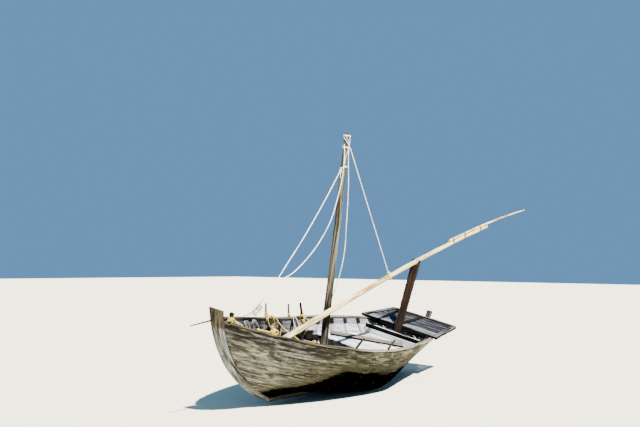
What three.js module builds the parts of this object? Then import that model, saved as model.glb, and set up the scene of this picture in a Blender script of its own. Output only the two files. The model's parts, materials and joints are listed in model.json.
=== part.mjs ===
// Planked double-ended sailing boat lying on a beach, with a low stern platform, a pole mast and a long spar
// stowed on a crutch. Boat frame in millimetres: +X towards the bow, +Y to port, +Z up from a base line that runs
// below the keel. The whole boat then heels to port until its bilge meets the ground, as it lies.
import * as THREE from 'three';

// Fits
const FIT = 0.3; // gap between pieces that touch
const RIB_FIT = 1.2; // gap between the planks' facets and what is bent to them

// Hull form
const MID_X = 130; // station of greatest breadth
const MID_BREADTH = 700; // half breadth there, at the sheer
const MID_SHEER = 847;
const KEEL_BOTTOM = 200; // underside of the straight keel, above the base line
const KEEL_TOP = 245;
const MID_FULLNESS = 2.95; // exponent of the middle section, 2 is an ellipse
const PLANK = 22;
const END_HALF = 20; // half thickness of stem and sternpost where the planks land
const ROWS = 12; // facets round the half girth
const STEPS = 12; // facets from the middle to each end
const LAST_STEP = 0.96; // one more station close to the ends

// Backbone
const KEEL_HALF = 30; // half thickness of keel and sternpost
const KEEL_AFT_X = -1150;
const KEEL_RISE_X = 300; // the keel is straight up to here and then rises to the forefoot
const FOREFOOT = [1420, 227];
const KEEL_RISE_POWER = 1.5;
const BOW_RABBET = [[1420, 270], [1750, 386], [2198, 783], [2303, 1115]]; // Bezier, x and z
const STEM_FRONT = [[1420, 227], [1930, 400], [2345, 770], [2497, 1276]];
const STEM_HEAD_AFT = [2337, 1233];
const STERN_RABBET = [[-1080, 250], [-1400, 325], [-1750, 530], [-1885, 775]];
const STERN_BACK = [[-1150, 200], [-1700, 320], [-1800, 600], [-2005, 1010]];
const STERN_HEAD_FORE = [-1915, 1015];

// Framing
const RIB_STATIONS = [-880, -640, -390, -130, 130, 400, 680, 950, 1210];
const RIB_HALF_WIDTH = 17;
const RIB_DEPTH = 38;
const RIB_TOP = 0.985; // share of the half girth
const LIMBER = 4; // room under the ribs along the keel, for bilge water
const LIMBER_SHARE = 0.3;
const RISER_DEPTH = 60;
const RISER_THICK = 24;
const RISER_RANGE = [-1130, 1000];
const DECK_Z = 660; // top of the deck boards
const BOARD = 22;
const CAP = { out: 8, width: 46, thick: 18, aft: -0.985, fore: 0.97 };

// Deck and beams, along X
const DECK_RANGE = [-1095, -85];
const DECK_BOARDS = 4;
const BOARD_GAP = 3;
const AFT_BEAM = { x: [-966, -942], height: 128 };
const THWART = { x: [470, 712], thick: 36 };
const BOW_BEAM = { x: [1722, 1782], depth: 60 };
const BREASTHOOK = { x: [2060, 2235], thick: 30, below: 12 };

// Mast: a straight line in the middle plane
const MAST = { at: [599, 749], rake: 0.1387, topZ: 3121, foot: 46, head: 30 };
const MAST_STEP = { x: [370, 620], half: 70, thick: 60 };

// Spar: a slightly drooping line in an upright plane that passes the mast on its port side
const SPAR_PLANE = { x: 736, y: 100, slope: 0.034 };
const SPAR_BEND = [-2280, 2190];
const SPAR_TIP = [-5373, 2705];
const SPAR_HEEL_OVERHANG = 51; // how far the spar reaches past its pivot
const SPAR_LIFT = 30; // degrees, how far its tip lifts
const SPAR_SLOPE = 0.329; // rise over run at the heel
const POLE = { heel: 33, end: 25, share: 0.72 };
const TIP = { butt: 20, end: 9, from: 0.52 };
const CRUTCH = { x: -1160, rake: 0.157, half: 57, thick: 45, prong: 66, room: 5 };

// Stern platform
const PLATFORM = {
  front: -1062, rear: -1822, frontHalf: 587, rearHalf: 514, rise: 0.09,
  rim: 36, end: 62, board: 20, inset: 16, batten: 52, planks: 4, deepFront: 44,
};
const FRONT_BEAM_NOTCH = 420;
const REAR_BEAM_NOTCH = 235;

// Small fittings
const PINS = [
  { name: 'thole_pin_port_fore', x: 880, side: 1, height: 115, lean: [-60, 35] },
  { name: 'thole_pin_port_aft', x: 340, side: 1, height: 115, lean: [-60, 35] },
  { name: 'thole_pin_starboard_fore', x: 1000, side: -1, height: 150, lean: [10, 34] },
  { name: 'thole_pin_starboard_aft', x: 470, side: -1, height: 150, lean: [10, 34] },
];
const PIN_RADIUS = 13;
const POST = { x: 2205, radius: 17, head: 24, neck: 110, height: 145, round: 9 };
const BELAYING_POLE = { top: [1190, 1262], footX: 682, radius: 15 };
const SPIKE = { z: 1149, tip: [2700, 1116], radius: 8 };
const ROPE = 5; // radius

// Ropes' routes as lists of points, chosen by hand
const ROPES = {
  forestay: {
    steps: 40,
    points: [
      [911.2, 0, 2731], [1112, 0, 2345], [1339, 0, 1958], [1540, 0, 1662], [1653, 0, 1500], [1765, 0, 1389],
      [1895, 0, 1284], [2019, 0, 1222], [2130, 0, 1186], [2180, 0, 1176],
    ],
  },
  slack_line: {
    steps: 56,
    points: [
      [946.2, 0, 2993], [938, 20, 2900], [915, 30, 2719], [905, 30, 2602], [915, 30, 2462],
      [968, 28, 2151], [1117, 22, 1880], [1319, 14, 1663], [1459, 13, 1567], [1600, 14, 1512],
      [1691, 16, 1458], [1758, 20, 1404], [1800, 20, 1352], [1808, 2, 1308], [1777, -45, 1268],
      [1731, -100, 1226], [1674, -160, 1177], [1633, -240, 1122], [1593, -320, 1068],
      [1563, -378, 1040], [1546, -416, 1028], [1541, -432, 1007.1],
    ],
  },
  fall: {
    steps: 56,
    points: [
      [906.6, 36.3, 2967], [882, 47, 2837], [811, 50, 2626], [749, 50, 2412], [682, 48, 2136],
      [623, 44, 1912], [599, 38, 1762], [586, 28, 1645], [570, 10, 1537], [551, -12, 1449],
      [516, -45, 1357], [358, -202, 1168], [170, -382, 1013], [100, -451, 952], [0, -560, 908],
      [-70, -632, 885], [-99, -664, 878], [-103, -668, 863.4],
    ],
  },
};
const HALYARD = { head: [868, 30, 2970], tieX: -455, steps: 10 };

// Middle of the overall box, as the boat lies
const ORIGIN = [-1333, 194];

const colour = (hex, roughness = 0.9) => new THREE.MeshStandardMaterial({ color: hex, roughness });
const HULL_WOOD = colour(0x8f8a7c);
const STEM_WOOD = colour(0x9a9fa3);
const INNER_WOOD = colour(0x7d7c86);
const DECK_WOOD = colour(0xcfd0cf);
const DARK_WOOD = colour(0x4a4850);
const MAST_WOOD = colour(0x857c6c);
const SPAR_WOOD = colour(0xe3d6b4);
const BROWN_WOOD = colour(0x5a3d2b);
const IRON = colour(0x2c2a2a, 0.6);
const ROPE_FIBRE = colour(0xe8e4d6);

const boat = new THREE.Group();

function add(name, geometry, material) {
  const mesh = new THREE.Mesh(geometry, material);
  mesh.name = name;
  boat.add(mesh);
  return mesh;
}

const lerp = THREE.MathUtils.lerp;
const mirrored = (p, side) => new THREE.Vector3(p.x, side * p.y, p.z);

function bisect(low, high, tooHigh) {
  for (let i = 0; i < 50; i += 1) {
    const middle = (low + high) / 2;
    if (tooHigh(middle)) high = middle;
    else low = middle;
  }
  return (low + high) / 2;
}

function bezier(points) {
  return new THREE.CubicBezierCurve(...points.map(([x, z]) => new THREE.Vector2(x, z)));
}

// A closed body through equal rings of points. Each end is closed by the strip between a ring's two halves.
// The second half of a ring splits its faces the other way, so bodies that share an edge share its facets.
function loft(rings) {
  const count = rings[0].length;
  const faces = [];
  const quad = (a, b, c, d) => faces.push(a, b, c, a, c, d);
  for (let i = 0; i + 1 < rings.length; i += 1) {
    for (let j = 0; j < count; j += 1) {
      const k = (j + 1) % count;
      const corners = [i * count + j, (i + 1) * count + j, (i + 1) * count + k, i * count + k];
      if (j >= count / 2) corners.push(corners.shift());
      quad(...corners);
    }
  }
  const last = (rings.length - 1) * count;
  for (let j = 0; j + 1 < count / 2; j += 1) {
    const far = count - 1 - j;
    quad(j, j + 1, far - 1, far);
    quad(last + j, last + far, last + far - 1, last + j + 1);
  }
  const points = rings.flat();
  let volume = 0;
  for (let i = 0; i < faces.length; i += 3) {
    const [a, b, c] = [points[faces[i]], points[faces[i + 1]], points[faces[i + 2]]];
    volume += a.dot(new THREE.Vector3().crossVectors(b, c));
  }
  const geometry = new THREE.BufferGeometry().setFromPoints(points);
  geometry.setIndex(volume > 0 ? faces : faces.reverse());
  geometry.computeVertexNormals();
  return geometry;
}

// An outline in X and Z, extruded across the boat from one Y to another
function sideBoard(outline, yLow, yHigh) {
  const shape = new THREE.Shape(outline.map(([x, z]) => new THREE.Vector2(x, z)));
  const geometry = new THREE.ExtrudeGeometry(shape, { depth: yHigh - yLow, bevelEnabled: false });
  geometry.rotateX(Math.PI / 2);
  geometry.translate(0, yHigh, 0);
  return geometry;
}

// An outline in Y and Z, extruded along the boat from one X to another
function crossBoard(outline, xLow, xHigh) {
  const shape = new THREE.Shape(outline.map(([y, z]) => new THREE.Vector2(y, z)));
  const geometry = new THREE.ExtrudeGeometry(shape, { depth: xHigh - xLow, bevelEnabled: false });
  geometry.rotateX(Math.PI / 2);
  geometry.rotateZ(Math.PI / 2);
  geometry.translate(xLow, 0, 0);
  return geometry;
}

// An outline in X and Y, extruded upwards
function slab(shape, zLow, zHigh) {
  const options = { depth: zHigh - zLow, bevelEnabled: false, curveSegments: 12 };
  const geometry = new THREE.ExtrudeGeometry(shape, options);
  geometry.translate(0, 0, zLow);
  return geometry;
}

function roundPole(from, to, radiusFrom, radiusTo, sides = 12) {
  const length = from.distanceTo(to);
  const geometry = new THREE.CylinderGeometry(radiusTo, radiusFrom, length, sides);
  geometry.translate(0, length / 2, 0);
  const up = new THREE.Vector3(0, 1, 0);
  const along = to.clone().sub(from).normalize();
  geometry.applyQuaternion(new THREE.Quaternion().setFromUnitVectors(up, along));
  geometry.translate(from.x, from.y, from.z);
  return geometry;
}

// A rope: a round section carried along a smooth curve through the given points
function rope(points, steps, radius = ROPE) {
  const curve = new THREE.CatmullRomCurve3(points.map((p) => new THREE.Vector3(...p)));
  const section = new THREE.Shape();
  section.absarc(0, 0, radius, 0, 2 * Math.PI);
  return new THREE.ExtrudeGeometry(section, { extrudePath: curve, steps, curveSegments: 4 });
}

// Hull surface. u runs from -1 at the sternpost to 1 at the stem, t from 0 at the keel to 1 at the sheer.
const bowRabbet = bezier(BOW_RABBET);
const sternRabbet = bezier(STERN_RABBET);

// The middle section is a superellipse, walked at even steps of its own length
const SECTION_SAMPLES = 400;
const middleSection = [];
for (let i = 0; i <= SECTION_SAMPLES; i += 1) {
  const angle = (Math.PI / 2) * (i / SECTION_SAMPLES);
  const y = MID_BREADTH * Math.sin(angle) ** (2 / MID_FULLNESS);
  const z = (MID_SHEER - KEEL_TOP) * (1 - Math.max(Math.cos(angle), 0) ** (2 / MID_FULLNESS));
  middleSection.push(new THREE.Vector2(y, KEEL_TOP + z));
}
const girthSoFar = [0];
middleSection.forEach((p, i) => {
  if (i > 0) girthSoFar.push(girthSoFar[i - 1] + p.distanceTo(middleSection[i - 1]));
});
const GIRTH = girthSoFar[SECTION_SAMPLES];

function middlePoint(t) {
  const wanted = t * GIRTH;
  const i = Math.max(1, girthSoFar.findIndex((length) => length >= wanted - 1e-9));
  const share = (wanted - girthSoFar[i - 1]) / (girthSoFar[i] - girthSoFar[i - 1]);
  return middleSection[i - 1].clone().lerp(middleSection[i], share);
}

// Plan shape (1 - v^p)^(1/q) and rise v^k from the middle to an end: q and k from the keel to the sheer. The
// quarters are slack, and flare out to the sheer only high up, as t^flare.
const ENDS = {
  bow: { curve: bowRabbet, q: [0.85, 1.6], k: [1.5, 1.6], flare: 1 },
  stern: { curve: sternRabbet, q: [0.4, 2.0], k: [1.2, 1.2], flare: 4 },
};
const PLAN_POWER = 1.5;

function hullPoint(u, t) {
  const end = u >= 0 ? ENDS.bow : ENDS.stern;
  const v = Math.abs(u);
  const rabbet = end.curve.getPointAt(t);
  const middle = middlePoint(t);
  const landing = END_HALF * Math.min(1, t * ROWS);
  const plan = Math.max(1 - v ** PLAN_POWER, 0) ** (1 / lerp(...end.q, t ** end.flare));
  return new THREE.Vector3(
    lerp(MID_X, rabbet.x, v),
    landing + (middle.x - landing) * plan,
    lerp(middle.y, rabbet.y, v ** lerp(...end.k, t)),
  );
}

// The same surface moved inwards by a depth, kept on its own side of the middle plane
function skin(u, t, depth) {
  const e = 1e-3;
  const point = hullPoint(u, t);
  const along = hullPoint(Math.min(u + e, 1), t).sub(hullPoint(Math.max(u - e, -1), t));
  const around = hullPoint(u, Math.min(t + e, 1)).sub(hullPoint(u, Math.max(t - e, 0)));
  point.addScaledVector(along.cross(around).normalize(), depth);
  point.y = Math.max(point.y, FIT / 2);
  return point;
}

const STATIONS = [-1, -LAST_STEP];
for (let k = 1 - STEPS; k < STEPS; k += 1) STATIONS.push(k / STEPS);
STATIONS.push(LAST_STEP, 1);

const gridCache = new Map();
function grid(depth) {
  if (!gridCache.has(depth)) {
    const column = (u) => Array.from({ length: ROWS + 1 }, (_, j) => skin(u, j / ROWS, depth));
    gridCache.set(depth, STATIONS.map(column));
  }
  return gridCache.get(depth);
}

// A point on the faceted surface at a depth
function facetPoint(u, t, depth) {
  const surface = grid(depth);
  const i = Math.min(Math.max(STATIONS.findIndex((s) => s > u) - 1, 0), STATIONS.length - 2);
  const column = u >= 1 ? STATIONS.length - 2 : i;
  const a = (u - STATIONS[column]) / (STATIONS[column + 1] - STATIONS[column]);
  const row = Math.min(Math.floor(t * ROWS + 1e-9), ROWS - 1);
  const b = t * ROWS - row;
  const near = surface[column][row];
  const far = surface[column + 1][row + 1];
  const third = a > b ? surface[column + 1][row] : surface[column][row + 1];
  return new THREE.Vector3()
    .addScaledVector(near, 1 - Math.max(a, b))
    .addScaledVector(third, Math.abs(a - b))
    .addScaledVector(far, Math.min(a, b));
}

// The same surface met by the upright plane at x, at girth t
function atStation(x, t, depth) {
  const u = bisect(-1, 1, (value) => facetPoint(value, t, depth).x > x);
  return facetPoint(u, t, depth);
}

// And met by the plane at x and the level z
function atLevel(x, z, depth) {
  const t = bisect(0, 1, (value) => atStation(x, value, depth).z > z);
  return atStation(x, t, depth);
}

// Backbone: keel, stem and sternpost, cut to the planks' edges
const edgeT = Array.from({ length: ROWS + 1 }, (_, j) => j / ROWS);

function keelBottom(x) {
  const share = Math.max(0, (x - KEEL_RISE_X) / (FOREFOOT[0] - KEEL_RISE_X));
  return lerp(KEEL_BOTTOM, FOREFOOT[1], share ** KEEL_RISE_POWER);
}

function makeKeel() {
  const top = STATIONS.map((u) => hullPoint(u, 0)).map((p) => [p.x, p.z - FIT]);
  top[top.length - 1][0] -= FIT;
  const bottom = [[KEEL_AFT_X, KEEL_BOTTOM]];
  for (let k = 0; k <= 8; k += 1) {
    const x = lerp(KEEL_RISE_X, FOREFOOT[0] - FIT, k / 8);
    bottom.push([x, keelBottom(x)]);
  }
  add('keel', sideBoard([...bottom, ...top.reverse()], -KEEL_HALF, KEEL_HALF), HULL_WOOD);
}

function makeStem() {
  const front = bezier(STEM_FRONT).getPoints(14).map((p) => [p.x, p.y]);
  const rabbet = edgeT.map((t) => bowRabbet.getPointAt(t)).map((p) => [p.x + FIT, p.y]);
  add('stem', sideBoard([...front, STEM_HEAD_AFT, ...rabbet.reverse()], -END_HALF, END_HALF), STEM_WOOD);
}

function makeSternpost() {
  const back = bezier(STERN_BACK).getPoints(12).map((p) => [p.x - FIT, p.y]);
  const rabbet = edgeT.map((t) => sternRabbet.getPointAt(t)).map((p) => [p.x - FIT, p.y]);
  add('sternpost', sideBoard([...back, STERN_HEAD_FORE, ...rabbet.reverse()].reverse(), -KEEL_HALF, KEEL_HALF),
    HULL_WOOD);
}

// Shell: four strakes a side
const STRAKES = ['garboard', 'bilge_strake', 'topside_strake', 'sheer_strake'];
const ROWS_PER_STRAKE = ROWS / STRAKES.length;
const SEAM = FIT / 2 / GIRTH;
const SCARFED = 'bilge_strake'; // the strake at the turn of the bilge is made of two lengths that meet amidships
const BUTT = FIT / 2 / (MID_X - STERN_RABBET[3][0]);
const LENGTHS = { whole: STATIONS, fore: [BUTT, ...STATIONS.filter((u) => u > 0)],
  aft: [...STATIONS.filter((u) => u < 0), -BUTT] };

function makeStrake(name, index, side, stations) {
  const first = index * ROWS_PER_STRAKE;
  const shares = Array.from({ length: ROWS_PER_STRAKE + 1 }, (_, j) => (first + j) / ROWS);
  if (index > 0) shares[0] += SEAM;
  if (index < STRAKES.length - 1) shares[ROWS_PER_STRAKE] -= SEAM;
  const rings = stations.map((u) => [
    ...shares.map((t) => mirrored(facetPoint(u, t, 0), side)),
    ...shares.map((t) => mirrored(facetPoint(u, t, PLANK), side)).reverse(),
  ]);
  add(name, loft(rings), HULL_WOOD);
}

// Ribs: one bent timber from sheer to sheer in an upright plane
const ribRoom = (t) => RIB_FIT + LIMBER * Math.max(0, 1 - t / LIMBER_SHARE);

// Height of a rib's inner face at a station and a distance from the middle plane
function ribInside(x, y) {
  const inside = (t) => atStation(x, t, PLANK + ribRoom(t) + RIB_DEPTH);
  return inside(bisect(0, 0.5, (t) => inside(t).y > y)).z;
}

function makeRib(name, x) {
  const count = 3 * ROWS;
  const girths = Array.from({ length: count }, (_, j) => j / count).concat(RIB_TOP);
  const half = RIB_HALF_WIDTH;
  const corners = [[-half, 0], [half, 0], [half, RIB_DEPTH], [-half, RIB_DEPTH]];
  const ring = (t, side) => corners.map(([dx, deeper]) => {
    const p = mirrored(atStation(x + dx, t, PLANK + ribRoom(t) + deeper), side);
    if (t === 0) p.y = 0;
    return p;
  });
  const port = girths.map((t) => ring(t, 1));
  const starboard = girths.slice(1).map((t) => ring(t, -1)).reverse();
  add(name, loft([...starboard, ...port]), INNER_WOOD);
}

const RISER_OUTER = PLANK + 2 * RIB_FIT + RIB_DEPTH;
const RISER_TOP = DECK_Z - BOARD - FIT;

function makeRiser(name, side) {
  const seats = RIB_STATIONS.filter((x) => x > RISER_RANGE[0] && x < RISER_RANGE[1])
    .flatMap((x) => [x - RIB_HALF_WIDTH, x + RIB_HALF_WIDTH]);
  const rings = [RISER_RANGE[0], ...seats, RISER_RANGE[1]].map((x) => [
    atLevel(x, RISER_TOP, RISER_OUTER + RISER_THICK),
    atLevel(x, RISER_TOP, RISER_OUTER),
    atLevel(x, RISER_TOP - RISER_DEPTH, RISER_OUTER),
    atLevel(x, RISER_TOP - RISER_DEPTH, RISER_OUTER + RISER_THICK),
  ].map((p) => mirrored(p, side)));
  add(name, loft(rings), INNER_WOOD);
}

// A beam across the boat, its ends cut to the inside of the hull at a depth
function beam(name, [x0, x1], [z0, z1], depth, material) {
  const ring = (side) => [[x0, z0], [x1, z0], [x1, z1], [x0, z1]]
    .map(([x, z]) => new THREE.Vector3(x, side * atLevel(x, z, depth).y, z));
  return add(name, loft([ring(-1), ring(1)]), material);
}

function makeDeck() {
  const pitch = (DECK_RANGE[1] - DECK_RANGE[0]) / DECK_BOARDS;
  for (let i = 0; i < DECK_BOARDS; i += 1) {
    const front = DECK_RANGE[1] - i * pitch;
    const along = [front - pitch + BOARD_GAP, front];
    beam(`deck_board_${i + 1}`, along, [DECK_Z - BOARD, DECK_Z], RISER_OUTER, DECK_WOOD);
  }
  const loose = new THREE.Shape([[-190, -450], [-330, -560], [-935, 175], [-800, 285]]
    .map(([x, y]) => new THREE.Vector2(x, y)));
  add('loose_board', slab(loose, DECK_Z + FIT, DECK_Z + FIT + BOARD), DECK_WOOD);
  const aftBottom = DECK_Z + FIT;
  beam('aft_beam', AFT_BEAM.x, [aftBottom, aftBottom + AFT_BEAM.height], RISER_OUTER, DARK_WOOD);
}

// The mast's centre and radius at a height
const mastX = (z) => MAST.at[0] + MAST.rake * (z - MAST.at[1]);
const stepBottom = Math.max(...RIB_STATIONS
  .filter((x) => x > MAST_STEP.x[0] - RIB_HALF_WIDTH && x < MAST_STEP.x[1] + RIB_HALF_WIDTH)
  .map((x) => ribInside(x + RIB_HALF_WIDTH, MAST_STEP.half))) + FIT;
const mastFootZ = stepBottom + MAST_STEP.thick + FIT;
const mastRadius = (z) => lerp(MAST.foot, MAST.head, (z - mastFootZ) / (MAST.topZ - mastFootZ));

function makeMast() {
  const [x0, x1] = MAST_STEP.x;
  add('mast_step', sideBoard([[x0, stepBottom], [x1, stepBottom], [x1, mastFootZ - FIT], [x0, mastFootZ - FIT]],
    -MAST_STEP.half, MAST_STEP.half), INNER_WOOD);
  const sides = 16;
  const rings = [mastFootZ, 1000, 1800, MAST.topZ - 40, MAST.topZ].map((z, i, all) => {
    const radius = i === all.length - 1 ? MAST.head * 0.7 : mastRadius(z);
    return Array.from({ length: sides }, (_, j) => {
      const angle = (2 * Math.PI * j) / sides;
      return new THREE.Vector3(mastX(z) + radius * Math.cos(angle), radius * Math.sin(angle), z);
    });
  });
  add('mast', loft(rings), MAST_WOOD);
}

function makeThwart() {
  const bottom = DECK_Z - BOARD;
  const end = (x) => atLevel(x, bottom, RISER_OUTER).y;
  const [x0, x1] = THWART.x;
  const shape = new THREE.Shape([[x0, -end(x0)], [x1, -end(x1)], [x1, end(x1)], [x0, end(x0)]]
    .map(([x, y]) => new THREE.Vector2(x, y)));
  const middle = bottom + THWART.thick / 2;
  const hole = new THREE.Path();
  hole.absarc(mastX(middle), 0, mastRadius(bottom) + MAST.rake * THWART.thick / 2 + FIT, 0, 2 * Math.PI, true);
  shape.holes.push(hole);
  add('mast_thwart', slab(shape, bottom, bottom + THWART.thick), INNER_WOOD);
}

// Spar curve in its own upright plane: run is measured along X
const sparY = (x) => SPAR_PLANE.y + SPAR_PLANE.slope * (x - SPAR_PLANE.x);
const sparAngle = Math.atan(SPAR_SLOPE);
const BOW_BEAM_TOP = 808;
const HEEL_ROOM = 0.5; // between the pole and the beam's edge
// The spar turns over the bow beam's upper front edge. Its pivot lies on its axis, square over that
// edge when the spar is half way up, so the pole never comes nearer to the edge than it rests.
const halfWay = THREE.MathUtils.degToRad(SPAR_LIFT / 2);
const pivotReach = (POLE.heel + HEEL_ROOM) / Math.cos(halfWay);
const sparPivot = [
  BOW_BEAM.x[1] + Math.sin(sparAngle + halfWay) * pivotReach,
  BOW_BEAM_TOP + Math.cos(sparAngle + halfWay) * pivotReach,
];
const sparHeel = [
  sparPivot[0] + Math.cos(sparAngle) * SPAR_HEEL_OVERHANG,
  sparPivot[1] - Math.sin(sparAngle) * SPAR_HEEL_OVERHANG,
];
const sparCurve = new THREE.QuadraticBezierCurve3(
  ...[sparHeel, SPAR_BEND, SPAR_TIP].map(([x, z]) => new THREE.Vector3(x, sparY(x), z)),
);

// A tapered round pole along a share of the spar's curve, lifted off it by an offset square to the curve
function sparPiece(from, to, radiusFrom, radiusTo, offset, steps) {
  const sides = 12;
  const rings = Array.from({ length: steps + 1 }, (_, i) => {
    const s = lerp(from, to, i / steps);
    const along = sparCurve.getTangent(s);
    const across = new THREE.Vector3(0, 0, 1).cross(along).normalize();
    const up = along.clone().cross(across);
    const centre = sparCurve.getPoint(s).addScaledVector(up, offset);
    const radius = lerp(radiusFrom, radiusTo, i / steps);
    return Array.from({ length: sides }, (__, j) => {
      const angle = (2 * Math.PI * j) / sides;
      return centre.clone()
        .addScaledVector(up, radius * Math.cos(angle))
        .addScaledVector(across, radius * Math.sin(angle));
    });
  });
  return loft(rings);
}

function makeSpar() {
  add('spar_pole', sparPiece(0, POLE.share, POLE.heel, POLE.end, 0, 16), SPAR_WOOD);
  const side = POLE.end + TIP.butt + 2;
  add('spar_tip', sparPiece(TIP.from, 1, TIP.butt, TIP.end, side, 12), SPAR_WOOD);
}

// The pole at a station: its centre, its radius and its radius measured upright
function sparAt(x) {
  const s = bisect(0, 1, (value) => sparCurve.getPoint(value).x < x);
  const slope = sparCurve.getTangent(s);
  const radius = lerp(POLE.heel, POLE.end, s / POLE.share);
  return { centre: sparCurve.getPoint(s), radius, upright: radius / Math.hypot(slope.x, slope.y) };
}

function makeCrutch() {
  const { centre, radius, upright } = sparAt(CRUTCH.x + CRUTCH.thick / 2);
  const under = centre.z - upright - 2 * FIT;
  const seatZ = under - (CRUTCH.thick / 2) * Math.sin(CRUTCH.rake);
  const foot = DECK_Z + FIT + (CRUTCH.thick / 2) * Math.sin(CRUTCH.rake);
  const height = (seatZ - foot) / Math.cos(CRUTCH.rake);
  const slot = radius + CRUTCH.room;
  const outline = [
    [-CRUTCH.half + 12, 0], [CRUTCH.half - 12, 0], [CRUTCH.half, height], [CRUTCH.half, height + CRUTCH.prong],
    [slot + 8, height + CRUTCH.prong], [slot, height], [-slot, height], [-slot - 8, height + CRUTCH.prong],
    [-CRUTCH.half, height + CRUTCH.prong], [-CRUTCH.half, height],
  ];
  const geometry = crossBoard(outline, -CRUTCH.thick / 2, CRUTCH.thick / 2);
  const mesh = add('crutch', geometry, BROWN_WOOD);
  mesh.rotation.y = -CRUTCH.rake;
  mesh.position.set(CRUTCH.x + Math.sin(CRUTCH.rake) * height, sparY(CRUTCH.x), foot);
}

// Top of the gunwale cap at a station
function capTopAt(x) {
  const u = bisect(-1, 1, (value) => facetPoint(value, 1, 0).x > x);
  return Math.max(facetPoint(u, 1, 0).z, facetPoint(u, 1, PLANK).z) + FIT + CAP.thick;
}

// Stern platform: a frame of four timbers with planks between them, rising towards the stern
const platformFrontTop = capTopAt(PLATFORM.front) + 2 * FIT + PLATFORM.rim;
const platformTop = (x) => platformFrontTop + (PLATFORM.front - x) * PLATFORM.rise;
const platformHalf = (x) => lerp(PLATFORM.frontHalf, PLATFORM.rearHalf,
  (PLATFORM.front - x) / (PLATFORM.front - PLATFORM.rear));

function platformPiece(name, [x0, x1], yLow, yHigh, [below, thick]) {
  const ring = (x) => [[yLow(x), below + thick], [yHigh(x), below + thick], [yHigh(x), below], [yLow(x), below]]
    .map(([y, drop]) => new THREE.Vector3(x, y, platformTop(x) - drop));
  add(name, loft([ring(x0), ring(x1)]), DARK_WOOD);
}

function makePlatform() {
  const { front, rear, rim, end, board, inset, batten, planks, deepFront } = PLATFORM;
  const frontLow = platformTop(front) - rim;
  const frontOutline = [
    [-FRONT_BEAM_NOTCH, frontLow - deepFront], [FRONT_BEAM_NOTCH, frontLow - deepFront],
    [FRONT_BEAM_NOTCH, frontLow], [platformHalf(front), frontLow],
    [platformHalf(front), platformTop(front)], [-platformHalf(front), platformTop(front)],
    [-platformHalf(front), frontLow], [-FRONT_BEAM_NOTCH, frontLow],
  ];
  add('platform_front_beam', crossBoard(frontOutline, front - rim, front), DARK_WOOD);
  const rearTop = platformTop(rear);
  const rearLow = capTopAt(rear + rim) + FIT;
  const rearOutline = [
    [-REAR_BEAM_NOTCH, rearLow], [REAR_BEAM_NOTCH, rearLow],
    [REAR_BEAM_NOTCH, rearTop - rim], [platformHalf(rear), rearTop - rim],
    [platformHalf(rear), rearTop], [-platformHalf(rear), rearTop],
    [-platformHalf(rear), rearTop - rim], [-REAR_BEAM_NOTCH, rearTop - rim],
  ];
  add('platform_rear_beam', crossBoard(rearOutline, rear, rear + rim), DARK_WOOD);
  const inner = [rear + rim + FIT, front - rim - FIT];
  const innerEdge = (x) => platformHalf(x) - end;
  platformPiece('platform_end_port', inner, innerEdge, platformHalf, [0, rim]);
  platformPiece('platform_end_starboard', inner, (x) => -platformHalf(x), (x) => -innerEdge(x), [0, rim]);
  platformPiece('platform_batten', inner, () => -batten / 2, () => batten / 2, [0, inset - FIT]);
  const pitch = (inner[1] - inner[0]) / planks;
  for (let i = 0; i < planks; i += 1) {
    const from = inner[1] - (i + 1) * pitch;
    platformPiece(`platform_plank_${i + 1}`, [from + BOARD_GAP, from + pitch],
      (x) => FIT - innerEdge(x), (x) => innerEdge(x) - FIT, [inset, board]);
  }
}

// Gunwale cap over the planks' top edge
function makeCap(name, side) {
  const inner = CAP.width - CAP.out;
  const stations = STATIONS.filter((u) => u > CAP.aft && u < CAP.fore);
  const rings = [CAP.aft, ...stations, CAP.fore].map((u) => {
    const outer = facetPoint(u, 1, 0);
    const across = facetPoint(u, 1, PLANK).sub(outer).setZ(0).normalize();
    const bottom = Math.max(outer.z, facetPoint(u, 1, PLANK).z) + FIT;
    return [[-CAP.out, 0], [inner, 0], [inner, CAP.thick], [-CAP.out, CAP.thick]].map(([offset, up]) => {
      const p = outer.clone().addScaledVector(across, offset);
      return new THREE.Vector3(p.x, side * Math.max(p.y, FIT), bottom + up);
    });
  });
  add(name, loft(rings), HULL_WOOD);
}

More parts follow.
